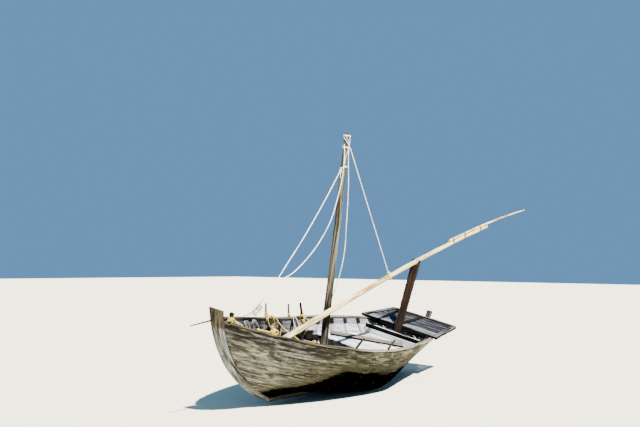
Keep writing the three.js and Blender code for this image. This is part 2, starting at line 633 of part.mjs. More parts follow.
function makeFittings() {
  PINS.forEach(({ name, x, side, height, lean }) => {
    const across = side * (atStation(x, 1, 0).y - CAP.width / 2 + CAP.out);
    const dip = PIN_RADIUS * Math.sin(Math.atan(Math.hypot(...lean) / height));
    const foot = new THREE.Vector3(x, across, capTopAt(x + Math.sign(lean[0]) * PIN_RADIUS) + dip + 2 * FIT);
    const top = new THREE.Vector3(foot.x + lean[0], foot.y + side * lean[1], foot.z + height);
    add(name, roundPole(foot, top, PIN_RADIUS, PIN_RADIUS * 0.8, 8), MAST_WOOD);
  });
  const hookTop = capTopAt(BREASTHOOK.x[0]) - CAP.thick - BREASTHOOK.below;
  beam('breasthook', BREASTHOOK.x, [hookTop - BREASTHOOK.thick, hookTop], PLANK + RIB_FIT, HULL_WOOD);
  const postFoot = hookTop + FIT;
  const { radius, neck, head, height, round } = POST;
  const profile = [[0, 0], [radius, 0], [radius, neck], [head, neck + round], [head, height - round],
    [head - round, height], [0, height]];
  const post = new THREE.LatheGeometry(profile.map(([r, h]) => new THREE.Vector2(r, h)), 12);
  post.rotateX(Math.PI / 2);
  post.translate(POST.x, 0, postFoot);
  add('bow_post', post, DARK_WOOD);
  const ribTop = ribInside(BELAYING_POLE.footX + BELAYING_POLE.radius, BELAYING_POLE.radius);
  const poleFoot = new THREE.Vector3(BELAYING_POLE.footX, 0, ribTop + 0.33 * BELAYING_POLE.radius);
  const poleTop = new THREE.Vector3(BELAYING_POLE.top[0], 0, BELAYING_POLE.top[1]);
  add('belaying_pole', roundPole(poleFoot, poleTop, BELAYING_POLE.radius, BELAYING_POLE.radius - 2), BROWN_WOOD);
  const front = bezier(STEM_FRONT);
  const level = bisect(0, 1, (value) => front.getPoint(value).y > SPIKE.z);
  const root = new THREE.Vector3(front.getPoint(level).x + 7 * FIT, 0, SPIKE.z);
  add('stem_spike', roundPole(root, new THREE.Vector3(SPIKE.tip[0], 0, SPIKE.tip[1]), SPIKE.radius, 5, 8), IRON);
}

// Ropes that hang between mast, bow, rail and spar
function makeRopes() {
  Object.entries(ROPES).forEach(([name, { steps, points }]) => add(name, rope(points, steps), ROPE_FIBRE));
  const { centre, upright } = sparAt(HALYARD.tieX);
  const tie = [centre.x, centre.y, centre.z + upright + 0.6 * ROPE];
  add('halyard', rope([HALYARD.head, tie], HALYARD.steps), ROPE_FIBRE);
}

makeKeel();
makeStem();
makeSternpost();
[['port', 1], ['starboard', -1]].forEach(([sideName, side]) => {
  STRAKES.forEach((strake, index) => {
    const name = `${strake}_${sideName}`;
    if (strake !== SCARFED) makeStrake(name, index, side, LENGTHS.whole);
    else ['fore', 'aft'].forEach((end) => makeStrake(`${name}_${end}`, index, side, LENGTHS[end]));
  });
  makeCap(`gunwale_cap_${sideName}`, side);
  makeRiser(`riser_${sideName}`, side);
});
RIB_STATIONS.forEach((x, i) => makeRib(`rib_${i + 1}`, x));
makeDeck();
beam('bow_beam', BOW_BEAM.x, [BOW_BEAM_TOP - BOW_BEAM.depth, BOW_BEAM_TOP], PLANK + RIB_FIT, INNER_WOOD);
makeMast();
makeThwart();
makeSpar();
makeCrutch();
makePlatform();
makeFittings();
makeRopes();

// The boat lies heeled to port: the keel's lower corner and the bilge touch the ground together
const bilgePoints = grid(0).flat().filter((p) => p.y > 4 * KEEL_HALF);
const heel = Math.min(...bilgePoints.map((p) => Math.atan2(p.z - KEEL_BOTTOM, p.y - KEEL_HALF)));
boat.rotation.x = -heel;
boat.position.set(-ORIGIN[0], -ORIGIN[1], KEEL_HALF * Math.sin(heel) - KEEL_BOTTOM * Math.cos(heel));

const ashore = new THREE.Group();
ashore.add(boat);

export default ashore;
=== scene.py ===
"""Planked double-ended sailing boat with a stern platform, a pole mast and a long spar on a crutch.

Every shape is worked out in the boat's own frame, in metres: +X towards the bow, +Y to port, +Z up from a
base line below the keel. ashore() then lays it over on its port bilge, as the boat lies on the beach.
"""
import json
import math

import bpy
import numpy as np
from mathutils import Matrix


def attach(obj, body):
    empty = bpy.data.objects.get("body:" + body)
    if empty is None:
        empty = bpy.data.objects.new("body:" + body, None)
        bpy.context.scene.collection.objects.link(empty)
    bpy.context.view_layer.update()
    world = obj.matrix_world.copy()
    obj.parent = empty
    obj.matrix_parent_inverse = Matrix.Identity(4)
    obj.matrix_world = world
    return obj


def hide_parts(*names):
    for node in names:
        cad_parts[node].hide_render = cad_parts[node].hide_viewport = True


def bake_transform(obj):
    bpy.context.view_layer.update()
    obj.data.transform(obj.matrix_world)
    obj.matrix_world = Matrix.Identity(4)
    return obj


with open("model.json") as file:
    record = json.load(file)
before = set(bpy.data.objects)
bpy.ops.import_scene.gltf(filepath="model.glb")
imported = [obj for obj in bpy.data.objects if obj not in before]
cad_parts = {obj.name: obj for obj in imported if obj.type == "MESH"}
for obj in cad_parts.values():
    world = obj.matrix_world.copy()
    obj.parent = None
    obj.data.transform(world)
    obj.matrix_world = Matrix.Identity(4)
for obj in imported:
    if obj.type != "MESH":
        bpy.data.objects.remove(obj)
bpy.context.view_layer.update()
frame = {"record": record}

# How the boat lies: the flat of its keel gives the heel and the place
KEEL_FLAT_X, KEEL_BOTTOM = -0.400, 0.200
keel_flat = next(m for m in frame["record"]["mounts"] if m["name"] == "keel_bottom")
AHEAD = np.array([1.0, 0.0, 0.0])
UP = -np.array(keel_flat["axis"])
PORT = np.cross(UP, AHEAD)
BOAT_ORIGIN = np.array(keel_flat["pos_m"]) - KEEL_FLAT_X * AHEAD - KEEL_BOTTOM * UP
Y = np.array([0.0, 1.0, 0.0])
Z = np.array([0.0, 0.0, 1.0])


def ashore(points):
    """Points of the boat's frame where they are as the boat lies heeled."""
    return BOAT_ORIGIN + np.asarray(points) @ np.array([AHEAD, PORT, UP])


# Camera: chest high off the port bow, looking slightly up. Its lens is as long as its sensor is wide, and
# the horizon lies some pixels below the middle of the picture.
CAMERA_AT = (7.904, 4.246, 1.412)
CAMERA_HEADING = (-0.809, -0.588)
LENS_LENGTH, SENSOR_WIDTH, CLIP_END = 36, 36, 200
PICTURE_WIDTH, HORIZON_DROP = 640, 54
CAMERA_PITCH = math.atan(HORIZON_DROP / PICTURE_WIDTH)
CAMERA_ROLL = math.radians(0.48)


def make_camera():
    """A camera turned by heading, pitch and roll: it looks along the heading, raised by the pitch, and its
    right and up, square to that, turn together by the roll."""
    forward = np.array([*CAMERA_HEADING, math.tan(CAMERA_PITCH) * math.hypot(*CAMERA_HEADING)])
    forward /= np.linalg.norm(forward)
    right = np.cross(forward, Z)
    right /= np.linalg.norm(right)
    up = np.cross(right, forward)
    cos, sin = math.cos(CAMERA_ROLL), math.sin(CAMERA_ROLL)
    right, up = right * cos + up * sin, up * cos - right * sin
    data = bpy.data.cameras.new("camera")
    data.lens = LENS_LENGTH
    data.sensor_width = SENSOR_WIDTH
    data.clip_end = CLIP_END
    camera = bpy.data.objects.new("camera", data)
    bpy.context.scene.collection.objects.link(camera)
    turned = np.eye(4)
    turned[:3, :3] = np.array([right, up, -forward]).T
    turned[:3, 3] = CAMERA_AT
    camera.matrix_world = Matrix(turned)
    bpy.context.scene.camera = camera


# Small mathematics


def lerp(a, b, share):
    """From a to b in a straight line, by a share."""
    return a + (b - a) * share


def unit(vectors):
    """Vectors divided by their lengths."""
    return vectors / np.linalg.norm(vectors, axis=-1, keepdims=True)


def points_at(x, y, z):
    """Points from their three coordinates, each a number or an array."""
    return np.stack(np.broadcast_arrays(x, y, z), -1)


def run_along(points):
    """Length walked along a line of points, from 0 at the first."""
    steps = np.linalg.norm(np.diff(points, axis=0), axis=-1)
    return np.concatenate([[0.0], np.cumsum(steps)])


def evenly(points, count):
    """Points at even steps along a line of points."""
    run = run_along(points)
    wanted = np.linspace(0, run[-1], count)
    return np.stack([np.interp(wanted, run, column) for column in points.T], -1)


WAVES = 7
WAVE_SPREAD = (0.6, 1.7)


def ripple(points, length, seed):
    """Smooth noise of about -1 to 1: a sum of seven waves of roughly that length, in scattered ways."""
    rng = np.random.default_rng(seed + 50)
    ways = unit(rng.normal(size=(WAVES, 3))) * (2 * np.pi / length * rng.uniform(*WAVE_SPREAD, (WAVES, 1)))
    return np.sin(points @ ways.T + rng.uniform(0, 2 * np.pi, WAVES)).sum(-1) / (WAVES / 2)


def bezier(points, share):
    """Bezier curve of three or four points: each pair of neighbours is divided at the share, until only
    one point is left."""
    share = np.asarray(share, float)[..., None]
    layers = [np.asarray(p, float) for p in points]
    while len(layers) > 1:
        layers = [lerp(a, b, share) for a, b in zip(layers, layers[1:])]
    return layers[0]


def even_bezier(points, share):
    """The same curve at shares of its own length."""
    spread = np.linspace(0, 1, 201)
    run = run_along(bezier(points, spread))
    return bezier(points, np.interp(np.asarray(share) * run[-1], run, spread))


CURVE_STEPS = 24


def through(points, count):
    """Centripetal Catmull-Rom curve through the points, at even steps of its length."""
    points = np.asarray(points, float)
    padded = np.concatenate([[2 * points[0] - points[1]], points, [2 * points[-1] - points[-2]]])
    knots = np.concatenate([[0.0], np.cumsum(np.linalg.norm(np.diff(padded, axis=0), axis=-1) ** 0.5)])
    pieces = []
    for i in range(1, len(padded) - 2):
        t0, t1, t2, t3 = knots[i - 1:i + 3]
        p0, p1, p2, p3 = padded[i - 1:i + 3]
        t = np.linspace(t1, t2, CURVE_STEPS, endpoint=False)[:, None]
        a1 = lerp(p0, p1, (t - t0) / (t1 - t0))
        a2 = lerp(p1, p2, (t - t1) / (t2 - t1))
        a3 = lerp(p2, p3, (t - t2) / (t3 - t2))
        b1 = lerp(a1, a2, (t - t0) / (t2 - t0))
        b2 = lerp(a2, a3, (t - t1) / (t3 - t1))
        pieces.append(lerp(b1, b2, (t - t1) / (t2 - t1)))
    return evenly(np.concatenate(pieces + [points[-1:]]), count)


# Shapes: an edge whose faces meet at more than the crease's angle stays sharp; points round a corner
CREASE = 38
CORNER_STEPS = 3


class Shape:
    """The points and four-sided faces of one piece, gathered from closed tubes of rings.

    Each corner keeps its place on the pattern map, in metres: first along the grain, then round it. Each
    point keeps three more numbers for its finish in the attribute `place`.
    """

    def __init__(self, seed=0):
        self.points, self.faces, self.maps, self.places = [], [], [], []
        self.count = 0
        self.rng = np.random.default_rng(seed + 1000)

    def tube(self, rings, place=None):
        """Joins each ring to the next all round, and closes both ends with a strip across the ring."""
        m, n, _ = rings.shape
        i, j = np.meshgrid(np.arange(m - 1), np.arange(n), indexing="ij")
        k = (j + 1) % n
        faces = np.stack([i * n + j, i * n + k, (i + 1) * n + k, (i + 1) * n + j], -1).reshape(-1, 4)
        j_end = np.arange(n // 2 - 1)
        near = np.stack([j_end + 1, j_end, n - 1 - j_end, n - 2 - j_end], -1)
        faces = np.concatenate([faces, near, (m - 1) * n + near[:, ::-1]])
        along = run_along(rings.mean(1))
        middle = rings[m // 2]
        around = run_along(np.concatenate([middle, middle[:1]]))
        side_u = np.stack([along[i], along[i], along[i + 1], along[i + 1]], -1).reshape(-1, 4)
        side_v = np.stack([around[j], around[j + 1], around[j + 1], around[j]], -1).reshape(-1, 4)
        cap_v = around[near]
        u = np.concatenate([side_u, np.zeros(near.shape), np.full(near.shape, along[-1])])
        v = np.concatenate([side_v, cap_v, cap_v[:, ::-1]])
        points = rings.reshape(-1, 3)
        a, b, c, d = (points[faces[:, corner]] for corner in range(4))
        volume = (a * (np.cross(b, c) + np.cross(c, d))).sum()
        order = [0, 1, 2, 3] if volume > 0 else [3, 2, 1, 0]
        shift = self.rng.uniform(0, 40, 2)
        self.points.append(points)
        self.faces.append(faces[:, order] + self.count)
        self.maps.append(np.stack([u[:, order] + shift[0], v[:, order] + shift[1]], -1))
        places = np.zeros((m, n, 3)) if place is None else np.broadcast_to(place, (m, n, 3))
        self.places.append(places.reshape(-1, 3))
        self.count += len(points)

    def make(self, name, finish, body="hull", stands_for=()):
        """Puts the shape into a mesh where the boat lies, with its finish, its body if it keeps to one, and
        the nodes it stands for."""
        points = ashore(np.concatenate(self.points))
        faces = np.concatenate(self.faces)
        mesh = bpy.data.meshes.new(name)
        mesh.vertices.add(len(points))
        mesh.vertices.foreach_set("co", points.astype(np.float32).ravel())
        mesh.loops.add(faces.size)
        mesh.loops.foreach_set("vertex_index", faces.astype(np.int32).ravel())
        mesh.polygons.add(len(faces))
        mesh.polygons.foreach_set("loop_start", np.arange(0, faces.size, 4, dtype=np.int32))
        mesh.update(calc_edges=True)
        grain = mesh.uv_layers.new(name="grain")
        grain.uv.foreach_set("vector", np.concatenate(self.maps).astype(np.float32).ravel())
        place = mesh.attributes.new("place", "FLOAT_VECTOR", "POINT")
        place.data.foreach_set("vector", np.concatenate(self.places).astype(np.float32).ravel())
        mesh.polygons.foreach_set("use_smooth", np.ones(len(faces), bool))
        mesh.set_sharp_from_angle(angle=math.radians(CREASE))
        mesh.materials.append(finish.material)
        piece = bpy.data.objects.new(name, mesh)
        bpy.context.scene.collection.objects.link(piece)
        if body:
            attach(piece, body)
        if stands_for:
            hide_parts(*stands_for)
        return piece


def timber(node, rings, finish, seed, place=None, stuff="wood", body="hull"):
    """One piece of wood or other stuff, from its rings, that stands for the node of its name."""
    shape = Shape(seed)
    shape.tube(rings, place)
    shape.make(f"{node}_{stuff}", FINISH[finish], body, [node])


def rectangle(across=8):
    """Once round a rectangle with round corners, as two lists: how much of the half size each point takes,
    from -1 to 1, and how much of the corner's radius."""
    angle = np.linspace(0, np.pi / 2, CORNER_STEPS)
    flat = np.linspace(1, -1, across + 2)[1:-1]
    ones = np.ones(CORNER_STEPS)
    spread, bulge = [], []
    for quarter, (right, top) in enumerate([(1, 1), (-1, 1), (-1, -1), (1, -1)]):
        turned = angle + quarter * np.pi / 2
        spread.append(np.stack([right * ones, top * ones], -1))
        bulge.append(np.stack([np.cos(turned), np.sin(turned)], -1))
        if quarter in (0, 2):
            level = 1 if quarter == 0 else -1
            spread.append(np.stack([flat * level, np.full(across, level)], -1))
            bulge.append(np.stack([np.zeros(across), np.full(across, level)], -1))
    return np.concatenate(spread), np.concatenate(bulge)


def sawn(centre, side, up, width, thick, corner=0.003, across=8):
    """A sawn timber: a rectangle with round corners carried along the centres. Its width lies along `side`,
    its thickness along `up`, and each of these may change from ring to ring."""
    spread, bulge = rectangle(across)
    count = len(centre)
    side = np.broadcast_to(side, (count, 3))[:, None]
    up = np.broadcast_to(up, (count, 3))[:, None]
    half_wide = np.broadcast_to(np.asarray(width) / 2 - corner, (count,))[:, None, None]
    half_thick = np.broadcast_to(np.asarray(thick) / 2 - corner, (count,))[:, None, None]
    wide = half_wide * spread[None, :, :1] + corner * bulge[None, :, :1]
    high = half_thick * spread[None, :, 1:] + corner * bulge[None, :, 1:]
    return centre[:, None] + side * wide + up * high


def worn(rings, size, length, seed):
    """Moves each ring's points out or in from its middle by smooth noise, so that faces and edges waver."""
    outward = rings - rings.mean(1, keepdims=True)
    reach = np.linalg.norm(outward, axis=-1, keepdims=True)
    return rings + outward / np.maximum(reach, 1e-6) * (size * ripple(rings, length, seed))[..., None]


def facing(path, hint):
    """Two directions square to a line of points at each point, the first square to the hint as well."""
    along = unit(np.gradient(path, axis=0))
    first = unit(np.cross(np.broadcast_to(hint, path.shape), along))
    return first, np.cross(along, first)


def pole(path, radius, sides=20, hint=Y, wear=0.0, length=0.2, seed=0):
    """A round pole: circles carried along a line of points, wavering by smooth noise."""
    first, second = facing(path, hint)
    angle = np.arange(sides) * 2 * np.pi / sides
    circle = first[:, None] * np.cos(angle)[None, :, None] + second[:, None] * np.sin(angle)[None, :, None]
    radius = np.broadcast_to(radius, (len(path),))[:, None]
    swell = radius + wear * ripple(path[:, None] + circle * 0.05, length, seed)
    return path[:, None] + circle * swell[..., None]


# Ropes: length of one turn of the strands, rings a turn, points a ring, depth of the grooves; then how
# square a winding is, and its points a turn
LAY = 0.045
LAY_STEPS, LAY_POINTS = 10, 12
GROOVE = 0.24
ROPE_HINT = np.array([0.31, 0.95, 0.07])
SQUARENESS = 0.8
WINDING_STEPS = 24


def laid_rope(path, radius, lay=LAY):
    """A rope of three strands: its section has three round lobes and turns once in each length of lay."""
    run = run_along(path)
    count = max(8, int(run[-1] / lay * LAY_STEPS))
    path = evenly(path, count)
    first, second = facing(path, ROPE_HINT)
    angle = np.arange(LAY_POINTS) * 2 * np.pi / LAY_POINTS
    lobes = radius * (1 - GROOVE + GROOVE * np.abs(np.cos(1.5 * angle)))
    turned = angle[None] + (np.linspace(0, run[-1], count) * 2 * np.pi / lay)[:, None]
    circle = first[:, None] * np.cos(turned)[..., None] + second[:, None] * np.sin(turned)[..., None]
    return path[:, None] + circle * lobes[None, :, None]


def winding(centre, axis, hint, radii, turns, pitch, start=0.0):
    """Centreline of a rope wound round one pole or two: an oval, widest along the hint, that moves on along
    the axis by a pitch a turn. The exponent makes it square enough to pass two poles' corners."""
    axis = unit(np.asarray(axis, float))
    second = unit(np.cross(axis, hint))
    first = np.cross(second, axis)
    angle = np.linspace(0, 2 * np.pi * turns, WINDING_STEPS * turns + 1)
    forward = (angle / (2 * np.pi) - turns / 2) * pitch
    cos, sin = np.cos(angle + start), np.sin(angle + start)
    wide = np.sign(cos) * np.abs(cos) ** SQUARENESS * radii[0]
    high = np.sign(sin) * np.abs(sin) ** SQUARENESS * radii[1]
    return np.asarray(centre) + first * wide[:, None] + second * high[:, None] + axis * forward[:, None]


# Hull form: the same curves as the boat's solids
FIT = 0.0003
RIB_FIT = 0.0012
MID_X = 0.130
MID_BREADTH = 0.700
MID_SHEER = 0.847
KEEL_TOP = 0.245
MID_FULLNESS = 2.95
PLANK = 0.022
END_HALF = 0.020
LANDING_SHARE = 1 / 12
BOW_RABBET = [[1.420, 0.270], [1.750, 0.386], [2.198, 0.783], [2.303, 1.115]]
STERN_RABBET = [[-1.080, 0.250], [-1.400, 0.325], [-1.750, 0.530], [-1.885, 0.775]]
PLAN_POWER = 1.5
BOW_PLAN, BOW_RISE, BOW_FLARE = (0.85, 1.6), (1.5, 1.6), 1
STERN_PLAN, STERN_RISE, STERN_FLARE = (0.4, 2.0), (1.2, 1.2), 4

quarter_turn = np.linspace(0, np.pi / 2, 401)
middle_section = np.stack([
    MID_BREADTH * np.sin(quarter_turn) ** (2 / MID_FULLNESS),
    KEEL_TOP + (MID_SHEER - KEEL_TOP) * (1 - np.cos(quarter_turn).clip(0) ** (2 / MID_FULLNESS)),
], -1)
middle_run = run_along(middle_section)
GIRTH = middle_run[-1]


def hull(u, t):
    """Outside of the planks. u runs from -1 at the sternpost to 1 at the stem, t from 0 at the keel to 1 at
    the sheer. The middle section narrows to each end's curve as (1 - u^1.5)^(1/q) and rises to it as u^k,
    where q grows from the keel to the sheer as t^flare."""
    u, t = np.broadcast_arrays(np.asarray(u, float), np.asarray(t, float))
    v = np.abs(u)
    fore = u >= 0
    rabbet = np.where(fore[..., None], even_bezier(BOW_RABBET, t), even_bezier(STERN_RABBET, t))
    wide = np.interp(t * GIRTH, middle_run, middle_section[:, 0])
    level = np.interp(t * GIRTH, middle_run, middle_section[:, 1])
    landing = END_HALF * np.minimum(1, t / LANDING_SHARE)
    q = np.where(fore, lerp(*BOW_PLAN, t ** BOW_FLARE), lerp(*STERN_PLAN, t ** STERN_FLARE))
    k = np.where(fore, lerp(*BOW_RISE, t), lerp(*STERN_RISE, t))
    plan = np.maximum(1 - v ** PLAN_POWER, 0) ** (1 / q)
    x = lerp(MID_X, rabbet[..., 0], v)
    y = landing + (wide - landing) * plan
    z = lerp(level, rabbet[..., 1], v ** k)
    return points_at(x, y, z)


def inside(u, t, depth):
    """The same surface moved inwards by a depth, square to itself."""
    step = 1e-3
    u, t, depth = np.broadcast_arrays(np.asarray(u, float), np.asarray(t, float), np.asarray(depth, float))
    along = hull(np.minimum(u + step, 1), t) - hull(np.maximum(u - step, -1), t)
    around = hull(u, np.minimum(t + step, 1)) - hull(u, np.maximum(t - step, 0))
    points = hull(u, t) + unit(np.cross(along, around)) * depth[..., None]
    points[..., 1] = np.maximum(points[..., 1], FIT / 2)
    return points


def at_station(x, t, depth):
    """That surface met by the upright plane at x: u is corrected until the point lies in the plane."""
    x, t, depth = np.broadcast_arrays(np.asarray(x, float), np.asarray(t, float), np.asarray(depth, float))
    reach = np.where(x >= MID_X, even_bezier(BOW_RABBET, t)[..., 0] - MID_X,
                     MID_X - even_bezier(STERN_RABBET, t)[..., 0])
    u = (x - MID_X) / reach
    for _ in range(5):
        u = np.clip(u + (x - inside(u, t, depth)[..., 0]) / reach, -1, 1)
    return inside(u, t, depth)


def half_breadth(x, z, depth):
    """Distance from the middle plane to that surface, at a station and a level."""
    x, z = np.broadcast_arrays(np.atleast_1d(np.asarray(x, float)), np.asarray(z, float))
    t = np.linspace(0, 1, 61)
    lines = at_station(x[:, None], t[None], depth)
    return np.array([np.interp(level, line[:, 2], line[:, 1]) for level, line in zip(z, lines)])


SIDES = (("port", 1), ("starboard", -1))


def mirrored(points, side):
    """Points of the port side on either side: their Y times 1 or -1."""
    return points * np.array([1, side, 1])


def stations(count):
    """Shares from end to end of the hull, closer together towards the ends."""
    return np.sin(np.linspace(-np.pi / 2, np.pi / 2, count))


RIB_STATIONS = [-0.880, -0.640, -0.390, -0.130, 0.130, 0.400, 0.680, 0.950, 1.210]
RIB_HALF_WIDTH = 0.017
RIB_DEPTH = 0.038
RIB_CORNER = 0.005
RIB_TOP = 0.985
LIMBER, LIMBER_SHARE = 0.004, 0.3


def rib_inside(x, y):
    """Height of a rib's inner face at a station and a distance from the middle plane."""
    t = np.linspace(0, 0.5, 81)
    room = RIB_FIT + LIMBER * np.maximum(0, 1 - t / LIMBER_SHARE)
    line = at_station(x, t, PLANK + room + RIB_DEPTH)
    return float(np.interp(y, line[:, 1], line[:, 2]))


# Finishes: how far colours are dimmed, how much wood mirrors, the fibres' part in its relief, and the noise
# of the usual streaks and fibres: spots a metre along and across the grain, detail, roughness
SHADE = 0.70
SHINE = 0.12
FIBRE_SHARE = 0.4
BUMP_STRENGTH = 0.8
STREAKS = (2.2, 38, 5, 0.65)
FIBRES = (8, 240, 3, 0.7)


def tint(code, shade=SHADE):
    """A colour written as six hexadecimal digits, as the shader wants it, and dimmed by a share."""
    channels = np.array([int(code[i:i + 2], 16) for i in (0, 2, 4)]) / 255
    linear = np.where(channels <= 0.04045, channels / 12.92, ((channels + 0.055) / 1.055) ** 2.4)
    return (*linear * shade, 1.0)


class Paint:
    """A material and short calls that add its nodes."""

    def __init__(self, name, slot):
        self.slot = slot
        self.material = bpy.data.materials.new(name)
        self.material.use_nodes = True
        self.tree = self.material.node_tree
        self.shader = self.tree.nodes["Principled BSDF"]
        self.grain = self.node("ShaderNodeUVMap", uv_map="grain").outputs[0]

    def node(self, kind, inputs=None, **settings):
        """A node with its settings, and its inputs given as values or as other nodes' outputs."""
        made = self.tree.nodes.new(kind)
        for key, setting in settings.items():
            setattr(made, key, setting)
        for key, given in (inputs or {}).items():
            if isinstance(given, bpy.types.NodeSocket):
                self.tree.links.new(given, made.inputs[key])
            else:
                made.inputs[key].default_value = given
        return made

    def place(self, number):
        """One of the three numbers that a shape keeps at its points."""
        vector = self.node("ShaderNodeAttribute", attribute_name="place").outputs["Vector"]
        return self.node("ShaderNodeSeparateXYZ", {0: vector}).outputs[number]

    def noise(self, along, across, detail=4.0, rough=0.6, warp=0.0):
        """Noise on the pattern map, with so many spots a metre along the grain and across it."""
        spots = (along, across, 0)
        spread = self.node("ShaderNodeVectorMath", {0: self.grain, 1: spots}, operation="MULTIPLY")
        inputs = {"Vector": spread.outputs[0], "Scale": 1.0, "Detail": detail, "Roughness": rough,
                  "Distortion": warp}
        return self.node("ShaderNodeTexNoise", inputs, noise_dimensions="2D").outputs[0]

    def band(self, value, low, high, to_low=0.0, to_high=1.0):
        """A value stretched from one range to another, and held within it."""
        inputs = {0: value, 1: low, 2: high, 3: to_low, 4: to_high}
        return self.node("ShaderNodeMapRange", inputs, interpolation_type="SMOOTHSTEP").outputs[0]

    def sum(self, operation, a, b):
        """The outcome of a sum of two values, held between 0 and 1."""
        return self.node("ShaderNodeMath", {0: a, 1: b}, operation=operation, use_clamp=True).outputs[0]

    def plus(self, a, b):
        """Two values added."""
        return self.sum("ADD", a, b)

    def minus(self, a, b):
        """One value less another."""
        return self.sum("SUBTRACT", a, b)

    def times(self, a, b):
        """Two values multiplied."""
        return self.sum("MULTIPLY", a, b)

    def mix(self, share, under, over):
        """One colour over another by a share. A colour is six digits, a tint or another node's output."""
        under, over = (tint(colour) if isinstance(colour, str) else colour for colour in (under, over))
        return self.node("ShaderNodeMix", {0: share, 6: under, 7: over}, data_type="RGBA").outputs[2]

    def coat(self, under, over, value, low, high, to_low=0.0, to_high=1.0):
        """One colour over another, by a share that follows a value through a band."""
        return self.mix(self.band(value, low, high, to_low, to_high), under, over)

    def but_for(self, cracks, value):
        """A value that falls to nothing in the cracks."""
        return self.times(value, self.band(cracks, 0, 1, 1.0, 0.0))

    def bare_relief(self, fibre, streak, cracks):
        """The relief of bare wood: fibres and streaks, and cracks through both."""
        raised = self.plus(self.times(fibre, FIBRE_SHARE), self.times(streak, 1 - FIBRE_SHARE))
        return self.but_for(cracks, raised)

    def done(self, colour, height, relief=0.002, rough=(0.75, 0.95), shine=SHINE):
        """Sends colour and relief to the shader, and how much its surface mirrors."""
        if isinstance(shine, bpy.types.NodeSocket):
            self.tree.links.new(shine, self.shader.inputs["Specular IOR Level"])
        else:
            self.shader.inputs["Specular IOR Level"].default_value = shine
        inputs = {"Height": height, "Distance": relief, "Strength": BUMP_STRENGTH}
        bump = self.node("ShaderNodeBump", inputs)
        self.tree.links.new(bump.outputs[0], self.shader.inputs["Normal"])
        self.tree.links.new(colour, self.shader.inputs["Base Color"])
        roughness = self.band(height, 0.2, 0.8, rough[1], rough[0])
        self.tree.links.new(roughness, self.shader.inputs["Roughness"])
        return self


def old_wood(name, slot, pale, middle, dark, crack="1d1a17", coarse=1.0, cracked=0.62, relief=0.002,
             shade=SHADE):
    """Weathered bare wood: broad patches, streaks, fibres and long cracks, drawn out along the grain."""
    paint = Paint(name, slot)
    broad = paint.noise(0.9 * coarse, 7 * coarse, 3)
    streak = paint.noise(2.2 * coarse, 38 * coarse, 5, 0.65)
    fibre = paint.noise(8 * coarse, 240 * coarse, 3, 0.7)
    split = paint.noise(1.5 * coarse, 75 * coarse, 2, 0.5, 0.4)
    tone = paint.coat(dark, tint(middle, shade), broad, 0.36, 0.62)
    tone = paint.coat(tone, tint(pale, shade), streak, 0.42, 0.66)
    tone = paint.coat(tone, dark, fibre, 0.35, 0.7, 0.35, 0.0)
    cracks = paint.band(split, cracked, cracked + 0.05)
    tone = paint.mix(cracks, tone, crack)
    return paint.done(tone, paint.bare_relief(fibre, streak, cracks), relief)


# Heights on the hull as shares of its girth: the edge of the black bottom, tarring and painted shade
# together;
# the top of the bleached wood; the top of the painted shade in the bilge
TAR_AND_SHADE_LINE = 0.80
BLEACHED = 0.915
BILGE_SHADE_LINE = 0.845


def hull_planks():
    """The shell: grey and brown streaks along the planks, a dark band under the rail at the bow, a black
    bottom of tarring and painted shade with a ragged edge, and another finish on the inside."""
    paint = Paint("hull_planks", "hull_wood")
    x, t, inner = (paint.place(i) for i in range(3))
    broad = paint.noise(1.7, 7, 5, 0.65, 0.5)
    streak = paint.noise(3.4, 26, 6, 0.72, 0.3)
    scratch = paint.noise(5, 95, 4, 0.6)
    fibre = paint.noise(10, 260, 3, 0.7)
    tone = paint.coat("1a190b", "47452e", broad, 0.43, 0.57)
    tone = paint.coat(tone, "868569", streak, 0.50, 0.66)
    tone = paint.coat(tone, "0d0a05", streak, 0.46, 0.37)
    bare = paint.coat("50544a", "abada4", streak, 0.42, 0.60)
    fore = paint.times(paint.band(x, 1.1, 1.8), paint.band(broad, 0.36, 0.56, 0.35, 1.0))
    tone = paint.mix(fore, tone, bare)
    aft = paint.times(paint.band(x, -0.3, -0.9), paint.band(streak, 0.40, 0.60, 0.25, 0.85))
    tone = paint.mix(aft, tone, "a7a596")
    patch = paint.noise(4.5, 15, 5, 0.7, 0.8)
    tone = paint.coat(tone, "25230f", patch, 0.49, 0.62, 0.0, 0.86)
    tone = paint.coat(tone, "b1ad98", patch, 0.44, 0.36, 0.0, 0.35)
    belly = paint.times(paint.band(x, 1.9, 1.3), paint.band(t, 0.90, 0.82))
    belly = paint.times(belly, paint.band(x, -0.4, 0.2, 0.0, 0.45))
    tone = paint.mix(belly, tone, "26240f")
    sheer = paint.times(paint.band(x, 1.0, 0.4), paint.band(t, 0.90, 0.94, 0.0, 0.08))
    tone = paint.mix(sheer, tone, "a9a58d")
    tone = paint.coat(tone, "c3beaa", scratch, 0.60, 0.68, 0.0, 0.55)
    tone = paint.coat(tone, "14100a", fibre, 0.38, 0.66, 0.45, 0.0)
    rail = paint.times(paint.band(t, 0.85, 0.93), paint.band(x, 0.2, 1.4, 0.10, 1.0))
    tone = paint.mix(paint.times(rail, paint.band(streak, 0.40, 0.66, 1.0, 0.45)), tone, "13100a")
    tone, tar_and_shade_share = tar_and_shade(paint, tone, x, t, streak, patch)
    inside_face = paint.band(inner, 0.2, 0.5)
    tone = paint.mix(inside_face, tone, planks_inside(paint, x, t, streak, fibre))
    cracks = paint.band(paint.noise(1.3, 60, 2, 0.5, 0.3), 0.64, 0.68)
    tone = paint.mix(cracks, tone, "060503")
    shine = paint.times(paint.band(paint.minus(tar_and_shade_share, inside_face), 0.0, 1.0, 1.0, 0.0), SHINE)
    return paint.done(tone, paint.bare_relief(fibre, streak, cracks), 0.003, shine=shine)


